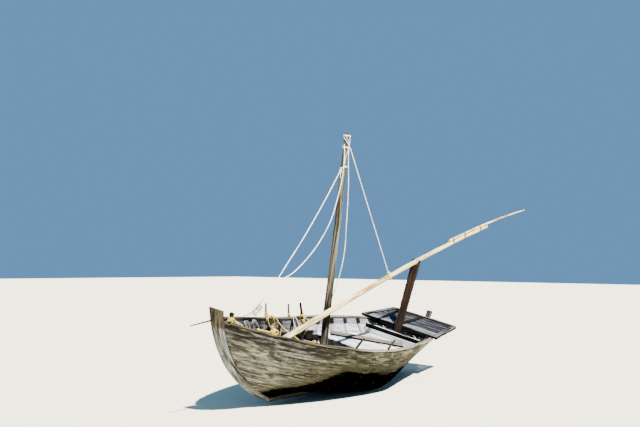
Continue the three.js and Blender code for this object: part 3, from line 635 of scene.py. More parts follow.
def tar_and_shade(paint, tone, x, t, streak, patch):
    """The bottom's tarring and painted shade over a tone, and its share: black below a ragged edge, with
    brown above it. The edge sinks towards the bow, where the tarring is worn thin in patches."""
    tar_and_shade_level = paint.plus(t, paint.band(x, 0.9, 1.85, 0.0, TAR_AND_SHADE_LINE))
    ragged = paint.minus(tar_and_shade_level, paint.band(streak, 0.3, 0.7, -0.02, 0.05))
    worn_off = paint.band(patch, 0.35, 0.60, 0.0, 0.45)
    thin = paint.band(paint.minus(x, worn_off), 0.95, 1.35, 1.0, 0.10)
    brown = paint.times(thin, paint.band(ragged, TAR_AND_SHADE_LINE + 0.14, TAR_AND_SHADE_LINE - 0.01, 0.0, 0.8))
    tone = paint.mix(brown, tone, "2a2713")
    # Black share: tarring, and painted shade on the bottom where it curves under, away from the light
    tar_and_shade_share = paint.times(thin, paint.band(ragged, TAR_AND_SHADE_LINE, TAR_AND_SHADE_LINE - 0.05))
    return paint.mix(tar_and_shade_share, tone, "000000"), tar_and_shade_share


def planks_inside(paint, x, t, streak, fibre):
    """The shell's inner face: violet grey, bleached below the rail aft, black deep in the bilge as painted
    shade.
    """
    tone = paint.coat("323338", "9a9ba2", streak, 0.42, 0.64)
    bleached = paint.coat("b4b8bc", "fafbfc", streak, 0.38, 0.56)
    tone = paint.coat(tone, "b9b7bd", x, 0.8, 0.2, 0.0, 0.6)
    tone = paint.mix(bleached_aft(paint, x, t), tone, bleached)
    # Painted shade: black deep inside the hull
    tone = paint.mix(bilge_shade(paint, x, t), tone, "040404")
    return paint.coat(tone, "141316", fibre, 0.38, 0.66, 0.45, 0.0)


def bleached_aft(paint, x, t):
    """Share of bleached wood: aft of the mast, below a line near the rail."""
    return paint.times(paint.band(x, 0.5, 0.2), paint.band(t, BLEACHED + 0.006, BLEACHED - 0.012))


def bilge_shade(paint, x, t):
    """Share of black below a line deep in the hull, forward of the deck's middle: painted shade."""
    below = paint.band(t, BILGE_SHADE_LINE + 0.015, BILGE_SHADE_LINE - 0.010)
    return paint.times(below, paint.band(x, -0.15, -0.05))


def rib_timber():
    """The ribs: nearly black as painted shade inside the hull, apart from the bleached parts below the rail
    aft.
    """
    paint = Paint("rib_timber", "inner_wood")
    x, t = paint.place(0), paint.place(1)
    streak = paint.noise(*STREAKS)
    fibre = paint.noise(*FIBRES)
    # Nearly black: painted shade on the ribs
    tone = paint.coat("0f0e10", "3f3d40", streak, 0.42, 0.66)
    bleached = paint.coat("a9adb1", "f4f6f8", streak, 0.36, 0.56)
    tone = paint.mix(bleached_aft(paint, x, t), tone, bleached)
    # Painted shade deep inside the hull, as on the planks
    tone = paint.mix(bilge_shade(paint, x, t), tone, "040404")
    tone = paint.coat(tone, "1a191b", fibre, 0.38, 0.7, 0.4, 0.0)
    return paint.done(tone, streak, 0.002)


def rail_cap():
    """The rail caps: worn pale aft of the mast, dark brown towards the bow."""
    paint = Paint("rail_cap", "hull_wood")
    x = paint.place(0)
    streak = paint.noise(*STREAKS)
    fibre = paint.noise(*FIBRES)
    tone = paint.coat("4a4332", "b3ac98", streak, 0.38, 0.62)
    brown = paint.coat("1b140a", "6e6550", streak, 0.44, 0.68)
    tone = paint.coat(tone, brown, x, 0.3, 1.5)
    tone = paint.coat(tone, "1c170e", fibre, 0.35, 0.7, 0.35, 0.0)
    return paint.done(tone, streak, 0.002)


def aft_beam():
    """The beam before the stern platform: a bleached foot, a black band of painted shade above it and a
    worn pale top.
    """
    paint = Paint("aft_beam", "dark_wood")
    height = paint.place(0)
    streak = paint.noise(2.2, 50, 5, 0.65)
    pale = paint.coat("a4a8ac", "f1f2f2", streak, 0.36, 0.60)
    # Black: painted shade on the beam's face below its top
    black = paint.coat("030303", "202124", streak, 0.45, 0.66)
    tone = paint.coat(pale, black, height, 0.50, 0.56)
    top = paint.times(paint.band(height, 0.945, 0.965), paint.band(streak, 0.40, 0.56, 0.15, 0.9))
    tone = paint.mix(top, tone, pale)
    return paint.done(tone, streak, 0.002, shine=0.02)


def rim_timber():
    """The stern platform's framing: sides black as painted shade, tops worn to grey streaks."""
    paint = Paint("rim_timber", "dark_wood")
    height = paint.place(0)
    streak = paint.noise(2.2, 60, 5, 0.65)
    fibre = paint.noise(*FIBRES)
    top = paint.coat("1a1a1c", "8d8c8a", streak, 0.44, 0.60)
    # Sides: painted shade, black below the lit tops
    side = paint.coat("020202", "242426", streak, 0.46, 0.70)
    tone = paint.coat(side, top, height, 0.80, 0.92)
    tone = paint.coat(tone, "050505", fibre, 0.38, 0.7, 0.4, 0.0)
    return paint.done(tone, streak, 0.002, shine=0.03)


def loose_plank():
    """The loose board: weathered pinkish grey, its edges black as painted shade."""
    paint = Paint("loose_plank", "deck_wood")
    height = paint.place(0)
    broad = paint.noise(0.9, 6, 4, 0.6, 0.3)
    streak = paint.noise(1.8, 34, 5, 0.65)
    fibre = paint.noise(*FIBRES)
    tone = paint.coat("574d44", "857a70", broad, 0.40, 0.60)
    tone = paint.coat(tone, "aaa196", streak, 0.46, 0.66)
    tone = paint.coat(tone, "3d342c", streak, 0.42, 0.34)
    tone = paint.coat(tone, "3c352f", fibre, 0.35, 0.7, 0.35, 0.0)
    # Painted shade: black on the sides and underside, below the top face
    tone = paint.coat(tone, "030202", height, 0.97, 0.90)
    return paint.done(tone, streak, 0.002)


def stem_board():
    """The stem: pale blue grey below, with dark brown patches that close up towards its head."""
    paint = Paint("stem_board", "stem_wood")
    height = paint.place(0)
    broad = paint.noise(3, 9, 4, 0.6, 0.3)
    streak = paint.noise(5, 46, 5, 0.65)
    fibre = paint.noise(12, 260, 3, 0.7)
    tone = paint.coat("36352b", "696b63", broad, 0.40, 0.62)
    tone = paint.coat(tone, "969b98", streak, 0.44, 0.66)
    head = paint.plus(paint.band(height, 0.76, 0.90), paint.band(broad, 0.45, 0.65, -0.1, 0.25))
    brown = paint.coat("120d07", "564d3c", streak, 0.36, 0.62)
    tone = paint.coat(tone, brown, head, 0.35, 0.75)
    tone = paint.coat(tone, "26231c", fibre, 0.35, 0.7, 0.4, 0.0)
    cracks = paint.band(paint.noise(2, 60, 2, 0.5, 0.4), 0.63, 0.68)
    tone = paint.mix(cracks, tone, "0d0b08")
    return paint.done(tone, paint.but_for(cracks, streak), 0.003)


def mast_pole():
    """The mast: pale where the bark's gone, with long olive streaks, and darker towards its foot as painted
    shade.
    """
    paint = Paint("mast_pole", "mast_wood")
    height = paint.place(0)
    streak = paint.noise(1.2, 26, 5, 0.6, 0.3)
    fibre = paint.noise(9, 240, 3, 0.7)
    tone = paint.coat("26241a", "7b7867", streak, 0.42, 0.56)
    tone = paint.coat(tone, "bcb9a8", streak, 0.54, 0.66)
    # Painted shade: darker on the mast below the spar
    tone = paint.coat(tone, "35312a", height, 0.30, 0.17, 0.0, 0.30)
    tone = paint.coat(tone, "3f3f38", height, 0.62, 0.92, 0.0, 0.55)
    tone = paint.coat(tone, "3a3324", fibre, 0.35, 0.7, 0.35, 0.0)
    cracks = paint.band(paint.noise(1.3, 70, 2, 0.5, 0.3), 0.65, 0.70)
    tone = paint.mix(cracks, tone, "14100a")
    return paint.done(tone, paint.but_for(cracks, streak), 0.002)


def two_tone(name, slot, lower, upper, dark, turn):
    """Wood whose colour changes along its length, from lower to upper, at a share of it."""
    paint = Paint(name, slot)
    streak = paint.noise(3, 60, 5)
    height = paint.place(0)
    tone = paint.coat(lower, upper, height, turn - 0.05, turn + 0.05)
    tone = paint.coat(tone, dark, streak, 0.4, 0.65, 0.75, 0.0)
    return paint.done(tone, streak, 0.0015)


def twisted(name, pale, dark, shade=SHADE):
    """Rope fibre: fine threads along the strands, a little dirt in the hollows."""
    paint = Paint(name, "rope")
    thread = paint.noise(60, 900, 3)
    dirt = paint.noise(4, 30, 4)
    tone = paint.coat(tint(pale, shade), tint(dark, shade), dirt, 0.4, 0.7)
    tone = paint.coat(tone, dark, thread, 0.35, 0.65, 0.3, 0.0)
    return paint.done(tone, thread, 0.0006)


def iron_rust():
    """Rusted iron: brown and black patches."""
    paint = Paint("rusted_iron", "iron")
    patch = paint.noise(25, 60, 6, 0.7)
    tone = paint.coat("080706", "1f1610", patch, 0.4, 0.62)
    return paint.done(tone, patch, 0.001, (0.6, 0.85))


def pale_sand():
    """The plain pale floor: nearly white, with soft low unevenness."""
    paint = Paint("pale_floor", "rope")
    where = paint.node("ShaderNodeTexCoord").outputs["Object"]
    soft = paint.node("ShaderNodeTexNoise", {"Vector": where, "Scale": 1.4, "Detail": 8.0}).outputs[0]
    tone = paint.mix(soft, tint("f6e9cc", 1.0), tint("fff5da", 1.0))
    return paint.done(tone, soft, 0.03, (0.9, 0.95)).material


FINISH = {
    "hull": hull_planks(),
    "stem": stem_board(),
    "keel": old_wood("keel_timber", "hull_wood", "74716a", "3a362b", "0d0b08"),
    "rail": rail_cap(),
    "inner": old_wood("inner_timber", "inner_wood", "77757c", "424147", "121114"),
    "rib": rib_timber(),
    "foot": old_wood("foot_timber", "inner_wood", "0e0e10", "060607", "020202"),
    "deck": old_wood("deck_boards", "deck_wood", "ffffff", "f4f6f8", "b4b8bd", "1c1c1e", shade=0.85),
    "loose": loose_plank(),
    "aft_beam": aft_beam(),
    "dark": old_wood("charred_boards", "dark_wood", "6a6c72", "202125", "040405", "010101", cracked=0.54),
    "rim": rim_timber(),
    "front": old_wood("bleached_front", "dark_wood", "b2b6bc", "6c7078", "232327"),
    "mast": mast_pole(),
    "spar": old_wood("spar_pole", "spar_wood", "f2e5b6", "e2cf90", "9c7c40", "5a4524", coarse=1.2,
                     cracked=0.70, relief=0.0012, shade=1.0),
    "brown": old_wood("crutch_board", "brown_wood", "3d2a1a", "1e130a", "060402"),
    "black": old_wood("blackened_pole", "dark_wood", "3a2c24", "120d0a", "050403"),
    "belaying": two_tone("belaying_pole", "brown_wood", "7c2f12", "0b0806", "180a05", 0.72),
    "pin": old_wood("yellowed_pin", "mast_wood", "4d472a", "252011", "0e0b05", coarse=1.5),
    "iron": iron_rust(),
    "white_rope": twisted("white_rope", "f6f6f4", "c2c0ba", shade=1.0),
    "brown_rope": twisted("brown_rope", "a98a5c", "5d4424"),
    "grey_rope": twisted("grey_rope", "bcbab0", "66635c"),
    "cream_rope": twisted("cream_rope", "fbeec4", "c7ae6c"),
    "yellow_rope": twisted("yellow_rope", "ffdf5c", "b58c20"),
    "orange_rope": twisted("orange_rope", "f5a63c", "a85e16"),
}


# Spar: a slightly drooping curve in an upright plane that passes the mast on its port side
SPAR_SLOPE = 0.329
SPAR_LIFT = 30
HEEL_ROOM = 0.0005
HEEL_OVERHANG = 0.051
BOW_BEAM_X = (1.722, 1.782)
BOW_BEAM_TOP = 0.808
POLE_HEEL, POLE_END, POLE_SHARE = 0.033, 0.025, 0.72
TIP_BUTT, TIP_END, TIP_FROM = 0.020, 0.009, 0.52
half_way = math.radians(SPAR_LIFT / 2)
spar_angle = math.atan(SPAR_SLOPE)
pivot_reach = (POLE_HEEL + HEEL_ROOM) / math.cos(half_way)
SPAR_HEEL = (
    BOW_BEAM_X[1] + math.sin(spar_angle + half_way) * pivot_reach + math.cos(spar_angle) * HEEL_OVERHANG,
    BOW_BEAM_TOP + math.cos(spar_angle + half_way) * pivot_reach - math.sin(spar_angle) * HEEL_OVERHANG,
)
SPAR_POINTS = [SPAR_HEEL, (-2.280, 2.190), (-5.373, 2.705)]
SPAR_SIDE, SPAR_YAW, SPAR_ABEAM_X = 0.1, 0.034, 0.736
TIP_GAP = 0.002


def spar_side(x):
    """How far to port the spar's plane is at a station: a straight line."""
    return SPAR_SIDE + SPAR_YAW * (x - SPAR_ABEAM_X)


def spar_at(share):
    """Points of the spar's centreline at shares of its curve."""
    flat = bezier(SPAR_POINTS, share)
    return points_at(flat[..., 0], spar_side(flat[..., 0]), flat[..., 1])


def spar_course(share):
    """A point of the spar's centreline, and the spar's direction there."""
    near = spar_at(np.array([share - 0.004, share, share + 0.004]))
    return near[1], unit(near[2] - near[0])


def spar_share(x):
    """Share of the curve at a station."""
    spread = np.linspace(0, 1, 401)
    return float(np.interp(-x, -spar_at(spread)[:, 0], spread))


def spar_radius(share):
    """Radius of the pole: it tapers evenly from its heel to its end."""
    return lerp(POLE_HEEL, POLE_END, share / POLE_SHARE)


# Mast, and the step that it stands on
MAST_FOOT = (0.599, 0.749)
MAST_RAKE = 0.1387
MAST_TOP = 3.121
MAST_STEP, MAST_STEP_HALF, MAST_STEP_THICK = (0.370, 0.620), 0.070, 0.060
MAST_STEP_BOTTOM = FIT + max(
    rib_inside(x + RIB_HALF_WIDTH, MAST_STEP_HALF) for x in RIB_STATIONS
    if MAST_STEP[0] - RIB_HALF_WIDTH < x < MAST_STEP[1] + RIB_HALF_WIDTH)
MAST_STEP_TOP = MAST_STEP_BOTTOM + MAST_STEP_THICK + FIT
MAST_RADIUS = (0.046, 0.030)

# Ropes: their radii, and the routes of the boat's solids
ROPE, LINE, THIN = 0.0050, 0.0048, 0.0035
FORESTAY = [
    [0.9112, 0, 2.731], [1.112, 0, 2.345], [1.339, 0, 1.958], [1.540, 0, 1.662], [1.653, 0, 1.500],
    [1.765, 0, 1.389], [1.895, 0, 1.284], [2.019, 0, 1.222], [2.130, 0, 1.186], [2.180, 0, 1.176],
]
SLACK_LINE = [
    [0.9462, 0, 2.993], [0.938, 0.020, 2.900], [0.915, 0.030, 2.719], [0.905, 0.030, 2.602],
    [0.915, 0.030, 2.462], [0.968, 0.028, 2.151], [1.117, 0.022, 1.880], [1.319, 0.014, 1.663],
    [1.459, 0.013, 1.567], [1.600, 0.014, 1.512], [1.691, 0.016, 1.458], [1.758, 0.020, 1.404],
    [1.800, 0.020, 1.352], [1.808, 0.002, 1.308], [1.777, -0.045, 1.268], [1.731, -0.100, 1.226],
    [1.674, -0.160, 1.177], [1.633, -0.240, 1.122], [1.593, -0.320, 1.068], [1.563, -0.378, 1.040],
    [1.546, -0.416, 1.028], [1.541, -0.432, 1.0071],
]
FALL = [
    [0.9066, 0.0363, 2.967], [0.882, 0.047, 2.837], [0.811, 0.050, 2.626], [0.749, 0.050, 2.412],
    [0.682, 0.048, 2.136], [0.623, 0.044, 1.912], [0.599, 0.038, 1.762], [0.586, 0.028, 1.645],
    [0.570, 0.010, 1.537], [0.551, -0.012, 1.449], [0.516, -0.045, 1.357], [0.358, -0.202, 1.168],
    [0.170, -0.382, 1.013], [0.100, -0.451, 0.952], [0.000, -0.560, 0.908], [-0.070, -0.632, 0.885],
    [-0.099, -0.664, 0.878], [-0.103, -0.668, 0.8634],
]
HALYARD_HEAD = [0.868, 0.030, 2.970]
HALYARD_TIE_X = -0.455


def mast_at(z):
    """The mast's centre at a height: it leans forward by its rake."""
    z = np.asarray(z, float)
    return points_at(MAST_FOOT[0] + MAST_RAKE * (z - MAST_FOOT[1]), 0, z)


def mast_radius(z):
    """The mast's radius at a height: it tapers evenly from its foot to its head."""
    return lerp(*MAST_RADIUS, (np.asarray(z) - MAST_STEP_TOP) / (MAST_TOP - MAST_STEP_TOP))


def rope_piece(name, path, finish, radius=ROPE, **options):
    """A single rope along a line of points, as one piece."""
    shape = Shape()
    shape.tube(laid_rope(path, radius))
    return shape.make(name, FINISH[finish], **options)


def free_rope(name, points, count, finish, radius=ROPE, far_end="object", **options):
    """A rope that hangs free."""
    path = through(points, count)
    piece = rope_piece(name, path, finish, radius, **options)


HANK_STEPS = 14


def hank(top, bottom, half_wide, turns, pitch, end=()):
    """Points of a line hung up in long loops: rounded oblongs between a top and a bottom, each a pitch
    further inboard than the last. `end` leads away from it."""
    top, bottom = np.asarray(top, float), np.asarray(bottom, float)
    long_way = (top - bottom) / 2
    side = unit(np.cross(long_way, Y)) * half_wide
    inboard = unit(np.cross(side, long_way))
    inboard = inboard * np.sign(inboard[1])
    angle = np.linspace(0, 2 * np.pi * turns, HANK_STEPS * turns + 1)
    cos, sin = np.cos(angle), np.sin(angle)
    high = np.sign(cos) * np.abs(cos) ** SQUARENESS
    wide = np.sign(sin) * np.abs(sin) ** SQUARENESS
    loops = ((top + bottom) / 2 + long_way * high[:, None] + side * wide[:, None]
             + inboard * (angle / (2 * np.pi) * pitch)[:, None])
    return np.concatenate([loops, np.reshape(end, (-1, 3))])


make_camera()
free_rope("slack_line_rope", SLACK_LINE, 120, "white_rope", stands_for=["slack_line"])
free_rope("fall_rope", FALL, 120, "white_rope", stands_for=["fall"])
rope_piece("forestay_rope", through(FORESTAY, 100), "white_rope", stands_for=["forestay"])

# Lines hung up inside the bow and on the pins: name, finish, radius, points, far end
FORE_COIL_LEAD = [
    (0.975, -0.500, 0.968), (0.948, -0.460, 0.935), (0.930, -0.400, 0.885), (0.935, -0.280, 0.840),
    (0.950, -0.120, 0.812), (0.966, -0.022, 0.800),
]
HUNG = [
    ("fore_pin_coil", "yellow_rope", LINE,
     hank((1.010, -0.552, 0.957), (0.925, -0.530, 0.828), 0.044, 3, 0.0125, FORE_COIL_LEAD), "object"),
    ("fore_pin_tail", "cream_rope", LINE,
     [(0.925, -0.385, 0.866), (0.928, -0.383, 0.820), (0.924, -0.388, 0.770), (0.932, -0.380, 0.715)],
     "bare"),
    ("aft_pin_loop", "cream_rope", LINE,
     [(0.440, -0.615, 0.900), (0.462, -0.590, 0.868), (0.478, -0.555, 0.825), (0.485, -0.515, 0.792),
      (0.500, -0.470, 0.785), (0.515, -0.445, 0.812), (0.505, -0.470, 0.850), (0.478, -0.525, 0.882),
      (0.452, -0.585, 0.906)], "object"),
    ("belaying_tail", "cream_rope", LINE,
     [(1.118, 0.020, 1.112), (1.060, 0.034, 1.082), (1.014, 0.036, 1.020), (1.010, 0.028, 0.960),
      (1.044, 0.022, 0.912), (1.062, 0.022, 0.860), (1.040, 0.024, 0.800), (1.000, 0.026, 0.750)], "bare"),
    ("bow_hank_fore", "grey_rope", THIN,
     hank((1.552, -0.402, 0.972), (1.486, -0.396, 0.868), 0.026, 3, 0.010), "object"),
    ("bow_hank_aft", "grey_rope", THIN,
     hank((1.362, -0.458, 0.950), (1.282, -0.446, 0.836), 0.030, 3, 0.012), "object"),
    ("stay_tangle", "grey_rope", THIN,
     hank((1.664, -0.150, 1.222), (1.712, -0.176, 1.122), 0.034, 3, 0.016,
          [(1.640, -0.190, 1.128), (1.622, -0.222, 1.098), (1.592, -0.268, 1.082)]), "bare"),
]
for name, finish, radius, points, far_end in HUNG:
    free_rope(name, points, max(40, 7 * len(points)), finish, radius, far_end)


# Shell
STRAKES = [("garboard", 0), ("bilge_strake", 1), ("topside_strake", 2), ("sheer_strake", 3)]
SCARFED = "bilge_strake"
PLANKS_A_STRAKE = 2
STRAKE_SHARE = 1 / 4
SEAM = 0.0006
PLANK_EDGE = 0.003
EDGE_DIP = [0.004, 0.0012]
SKIN = 0.0012
PLANK_WAVES = ((0.0011, 0.5), (0.0006, 0.12))


def plank_rings(low, high, side, seed):
    """One plank between two shares of the girth, from end to end of the hull. Its outer face rounds into
    the seams and lies a skin's depth below the hull's form. Both faces waver in long and short waves."""
    u = stations(111)[:, None]
    inner = np.linspace(0, 1, 6)
    edge = PLANK_EDGE / GIRTH
    flats = lerp(low + edge, high - edge, inner)
    across = np.concatenate([[low, low + edge / 3], flats, [high - edge / 3, high]])
    dip = np.concatenate([EDGE_DIP, np.zeros(len(inner)), EDGE_DIP[::-1]])
    t = np.concatenate([across, across[::-1]])[None]
    depth = np.concatenate([dip, PLANK - dip / 2])[None]
    fair = hull(u, t)
    waver = sum(size * ripple(fair, length, seed + i) for i, (size, length) in enumerate(PLANK_WAVES))
    rings = inside(u, t, depth + SKIN + waver)
    return mirrored(rings, side), points_at(fair[..., 0], t, depth / PLANK)


def make_shell():
    """Two planks a strake. Those of the scarfed strake stand for both its lengths."""
    for side_name, side in SIDES:
        for name, index in STRAKES:
            shape = Shape(seed=10 * index + (side > 0))
            for i in range(PLANKS_A_STRAKE):
                low = (index + i / PLANKS_A_STRAKE) * STRAKE_SHARE + SEAM / 2 / GIRTH
                high = (index + (i + 1) / PLANKS_A_STRAKE) * STRAKE_SHARE - SEAM / 2 / GIRTH
                shape.tube(*plank_rings(low, high, side, 100 * index + 7 * i + side))
            node = f"{name}_{side_name}"
            nodes = [f"{node}_fore", f"{node}_aft"] if name == SCARFED else [node]
            shape.make(f"{node}_planks", FINISH["hull"], stands_for=nodes)


# Rail caps
CAP_OUT, CAP_WIDTH, CAP_THICK = 0.008, 0.046, 0.018
CAP_ENDS = (-0.985, 0.99)


def cap_top(x):
    """Top of the rail cap at a station."""
    return float(max(at_station(x, 1.0, 0.0)[2], at_station(x, 1.0, PLANK)[2]) + FIT + CAP_THICK)


def rail_middle(x):
    """Distance from the middle plane to the middle of a rail cap at a station."""
    return float(at_station(x, 1.0, 0.0)[1]) - CAP_WIDTH / 2 + CAP_OUT


def make_caps():
    """The rail caps: a sawn timber along the sheer, level across both edges of the planks."""
    for side_name, side in SIDES:
        u = np.sin(np.linspace(math.asin(CAP_ENDS[0]), math.asin(CAP_ENDS[1]), 121))
        outer = hull(u, 1.0)
        inner_edge = inside(u, 1.0, PLANK)
        across = unit((inner_edge - outer) * [1, 1, 0])
        level = np.maximum(outer[:, 2], inner_edge[:, 2]) + FIT + CAP_THICK / 2
        centre = outer + across * (CAP_WIDTH / 2 - CAP_OUT)
        centre[:, 2] = level
        centre[:, 1] = np.maximum(centre[:, 1], CAP_WIDTH / 4)
        rings = worn(sawn(centre, across, Z, CAP_WIDTH, CAP_THICK, 0.004), 0.0016, 0.12, 30 + side)
        rings[..., 1] = np.maximum(rings[..., 1], FIT)
        timber(f"gunwale_cap_{side_name}", mirrored(rings, side), "rail", 20 + side, rings[..., :1])


# Backbone
KEEL_HALF = 0.030
KEEL_AFT_X = -1.150
KEEL_RISE_X = 0.300
FOREFOOT = (1.420, 0.227)
STEM_FRONT = [[1.420, 0.227], [1.930, 0.400], [2.345, 0.770], [2.497, 1.276]]
STEM_HEAD_AFT = [2.337, 1.233]
STERN_BACK = [[-1.150, 0.200], [-1.700, 0.320], [-1.800, 0.600], [-2.005, 1.010]]
STERN_HEAD_FORE = [-1.915, 1.015]
STEM_HEIGHT = 1.28
FLOOR_ROOM = 0.0004


def upright(flat):
    """Points given by X and Z, in the middle plane."""
    return points_at(flat[:, 0], 0, flat[:, 1])


def board_between(low, high, half, corner, size, seed):
    """A board in the middle plane whose edges follow two lines of points."""
    reach = high - low
    thick = np.linalg.norm(reach, axis=-1)
    rings = sawn((low + high) / 2, Y, reach / thick[:, None], 2 * half, thick, corner, across=4)
    return worn(rings, size, 0.15, seed)


def make_backbone():
    """Keel, stem and sternpost, between the planks' edges and their own outer lines."""
    share = np.linspace(0, 1, 90)
    bottom_x = lerp(KEEL_AFT_X, FOREFOOT[0] - FIT, share)
    rise = np.maximum(0, (bottom_x - KEEL_RISE_X) / (FOREFOOT[0] - KEEL_RISE_X)) ** 1.5
    bottom = points_at(bottom_x, 0, lerp(KEEL_BOTTOM, FOREFOOT[1], rise))
    top_x = lerp(STERN_RABBET[0][0], FOREFOOT[0] - FIT, share)
    top_line = hull(np.linspace(-1, 1, 201), 0.0)
    top = points_at(top_x, 0, np.interp(top_x, top_line[:, 0], top_line[:, 2]) - FIT)
    rings = board_between(bottom, top, KEEL_HALF, 0.004, 0.0008, 31)
    rings[..., 2] = np.maximum(rings[..., 2], KEEL_BOTTOM + FLOOR_ROOM)
    timber("keel", rings, "keel", 31)
    for name, front, rabbet, head, half, finish in (
        ("stem", STEM_FRONT, BOW_RABBET, STEM_HEAD_AFT, END_HALF, "stem"),
        ("sternpost", STERN_BACK, STERN_RABBET, STERN_HEAD_FORE, KEEL_HALF, "keel"),
    ):
        outer = evenly(upright(bezier(front, np.linspace(0, 1, 200))), 80)
        edge = np.concatenate([even_bezier(rabbet, np.linspace(0, 1, 200)), [head]])
        inner = evenly(upright(edge), 80)
        inner[:, 0] += FIT if name == "stem" else -FIT
        rings = board_between(outer, inner, half, 0.004, 0.0012, 33 + len(name))
        timber(name, rings, finish, 33, rings[..., 2:] / STEM_HEIGHT)


# Ribs and risers
RISER_RANGE = (-1.130, 1.000)
RISER_DEPTH, RISER_THICK = 0.060, 0.024
RISER_OUTER = PLANK + 2 * RIB_FIT + RIB_DEPTH
DECK_Z = 0.660
BOARD = 0.022


def make_ribs():
    """Bent timbers from sheer to sheer, each in its upright plane, with round corners."""
    spread, bulge = rectangle(across=2)
    t = np.linspace(-RIB_TOP, RIB_TOP, 61)[:, None]
    room = RIB_FIT + LIMBER * np.maximum(0, 1 - np.abs(t) / LIMBER_SHARE)
    ahead = (RIB_HALF_WIDTH - RIB_CORNER) * spread[:, 0] + RIB_CORNER * bulge[:, 0]
    deeper = RIB_DEPTH / 2 + (RIB_DEPTH / 2 - RIB_CORNER) * spread[:, 1] + RIB_CORNER * bulge[:, 1]
    for i, x in enumerate(RIB_STATIONS):
        points = at_station(x + ahead, np.abs(t), PLANK + room + deeper)
        points[..., 1] *= np.sign(t)
        place = points_at(points[..., 0], np.abs(t), 0)
        timber(f"rib_{i + 1}", worn(points, 0.0012, 0.1, 40 + i), "rib", 40 + i, place)


def make_risers():
    """Stringers inside the ribs, whose tops carry the boards."""
    top = DECK_Z - BOARD - FIT
    x = np.linspace(*RISER_RANGE, 60)
    upper, lower = (points_at(x, half_breadth(x, z, RISER_OUTER), z) for z in (top, top - RISER_DEPTH))
    rise = unit(upper - lower)
    inward = unit(np.cross(AHEAD, rise))
    centre = (upper + lower) / 2 - inward * np.sign(inward[:, 1:2]) * RISER_THICK / 2
    rings = worn(sawn(centre, inward, rise, RISER_THICK, RISER_DEPTH, 0.003, 3), 0.0008, 0.15, 51)
    for side_name, side in SIDES:
        timber(f"riser_{side_name}", mirrored(rings, side), "foot", 51 + side)


# Boards across the boat
BOARD_CORNER = 0.003
END_RAGGED = 0.006


def across_rings(x, top, thick, reach, seed, wear=0.0012):
    """A board that lies across the boat between two stations. `reach` gives its half length and `top` its
    upper face at any station. Its ends, edges and faces waver."""
    spread, bulge = rectangle()
    middle, half = (x[0] + x[1]) / 2, (x[1] - x[0]) / 2
    share = np.linspace(-1, 1, 60)[:, None]
    across = middle + (half - BOARD_CORNER) * spread[:, 0] + BOARD_CORNER * bulge[:, 0]
    depth = thick / 2 - (thick / 2 - BOARD_CORNER) * spread[:, 1] - BOARD_CORNER * bulge[:, 1]
    ragged = 1 - END_RAGGED * (1 + ripple(points_at(across, 0, 0), 0.05, seed + 5))
    grid = np.linspace(*x, 9)
    length = np.interp(across, grid, reach(grid)) * np.where(np.abs(share) > 0.99, ragged, 1)
    rings = points_at(across, share * length, top(across) - depth)
    edge = (np.abs(spread[:, 0]) > 0.9) * np.sign(spread[:, 0])
    rings[..., 0] += edge[None] * wear * 1.5 * (ripple(rings * [0, 1, 0], 0.22, seed) - 1)
    rings[..., 2] += wear * (ripple(rings * [0.3, 1, 0], 0.5, seed + 1) - 1)
    return rings


DECK_RANGE = (-1.095, -0.085)
DECK_NODES = 4
DECK_BOARDS_A_NODE = 2
BOARD_GAP = 0.006
LOOSE_BOARD = [(-0.190, -0.450), (-0.330, -0.560), (-0.935, 0.175), (-0.800, 0.285)]
LOOSE_CURL = 0.0022
AFT_BEAM = (-0.966, -0.942)
AFT_BEAM_HEIGHT = 0.128
THWART = (0.470, 0.712)
THWART_THICK = 0.036
BOW_BEAM_DEPTH = 0.060
BREASTHOOK = (2.060, 2.235)
BREASTHOOK_THICK, BREASTHOOK_BELOW = 0.030, 0.012


def flat_top(level):
    """A board's upper face at one level, for across_rings."""
    return lambda x: np.full(np.shape(x), level)


def hull_reach(level, depth):
    """A board's half length up to the inside of the hull, for across_rings."""
    return lambda x: half_breadth(x, level, depth)


def make_deck():
    """The deck: four pairs of boards across the boat, with a gap behind each."""
    pitch = (DECK_RANGE[1] - DECK_RANGE[0]) / DECK_NODES
    reach = hull_reach(DECK_Z - BOARD / 2, RISER_OUTER)
    for i in range(DECK_NODES):
        shape = Shape(seed=60 + i)
        front = DECK_RANGE[1] - i * pitch
        width = (pitch - BOARD_GAP) / DECK_BOARDS_A_NODE
        for j in range(DECK_BOARDS_A_NODE):
            ahead = front - j * width
            x = (ahead - width + BOARD_GAP, ahead)
            shape.tube(across_rings(x, flat_top(DECK_Z), BOARD, reach, 61 + 7 * i + j, 0.0018))
        shape.make(f"deck_board_{i + 1}_wood", FINISH["deck"], stands_for=[f"deck_board_{i + 1}"])


def make_loose_board():
    """The board that lies on the deck: sawn between two slanting edges and curled up by smooth noise."""
    level = DECK_Z + FIT + BOARD / 2
    fore_near, fore_far, aft_far, aft_near = (np.array([*corner, level]) for corner in LOOSE_BOARD)
    share = np.linspace(0, 1, 50)[:, None]
    one_edge = lerp(fore_near, aft_near, share)
    other_edge = lerp(fore_far, aft_far, share)
    side = unit(other_edge - one_edge)
    width = np.linalg.norm(other_edge - one_edge, axis=-1) - 0.004
    rings = sawn((one_edge + other_edge) / 2, side, Z, width, BOARD, 0.004, 12)
    height = (rings[..., 2:] - DECK_Z) / BOARD
    rings[..., 2] += LOOSE_CURL * (1 + ripple(rings * [1, 1, 0], 0.35, 71))
    timber("loose_board", worn(rings, 0.002, 0.3, 72), "loose", 70, height)


def breasthook_top():
    """Level of the breasthook's upper face."""
    return cap_top(BREASTHOOK[0]) - CAP_THICK - BREASTHOOK_BELOW


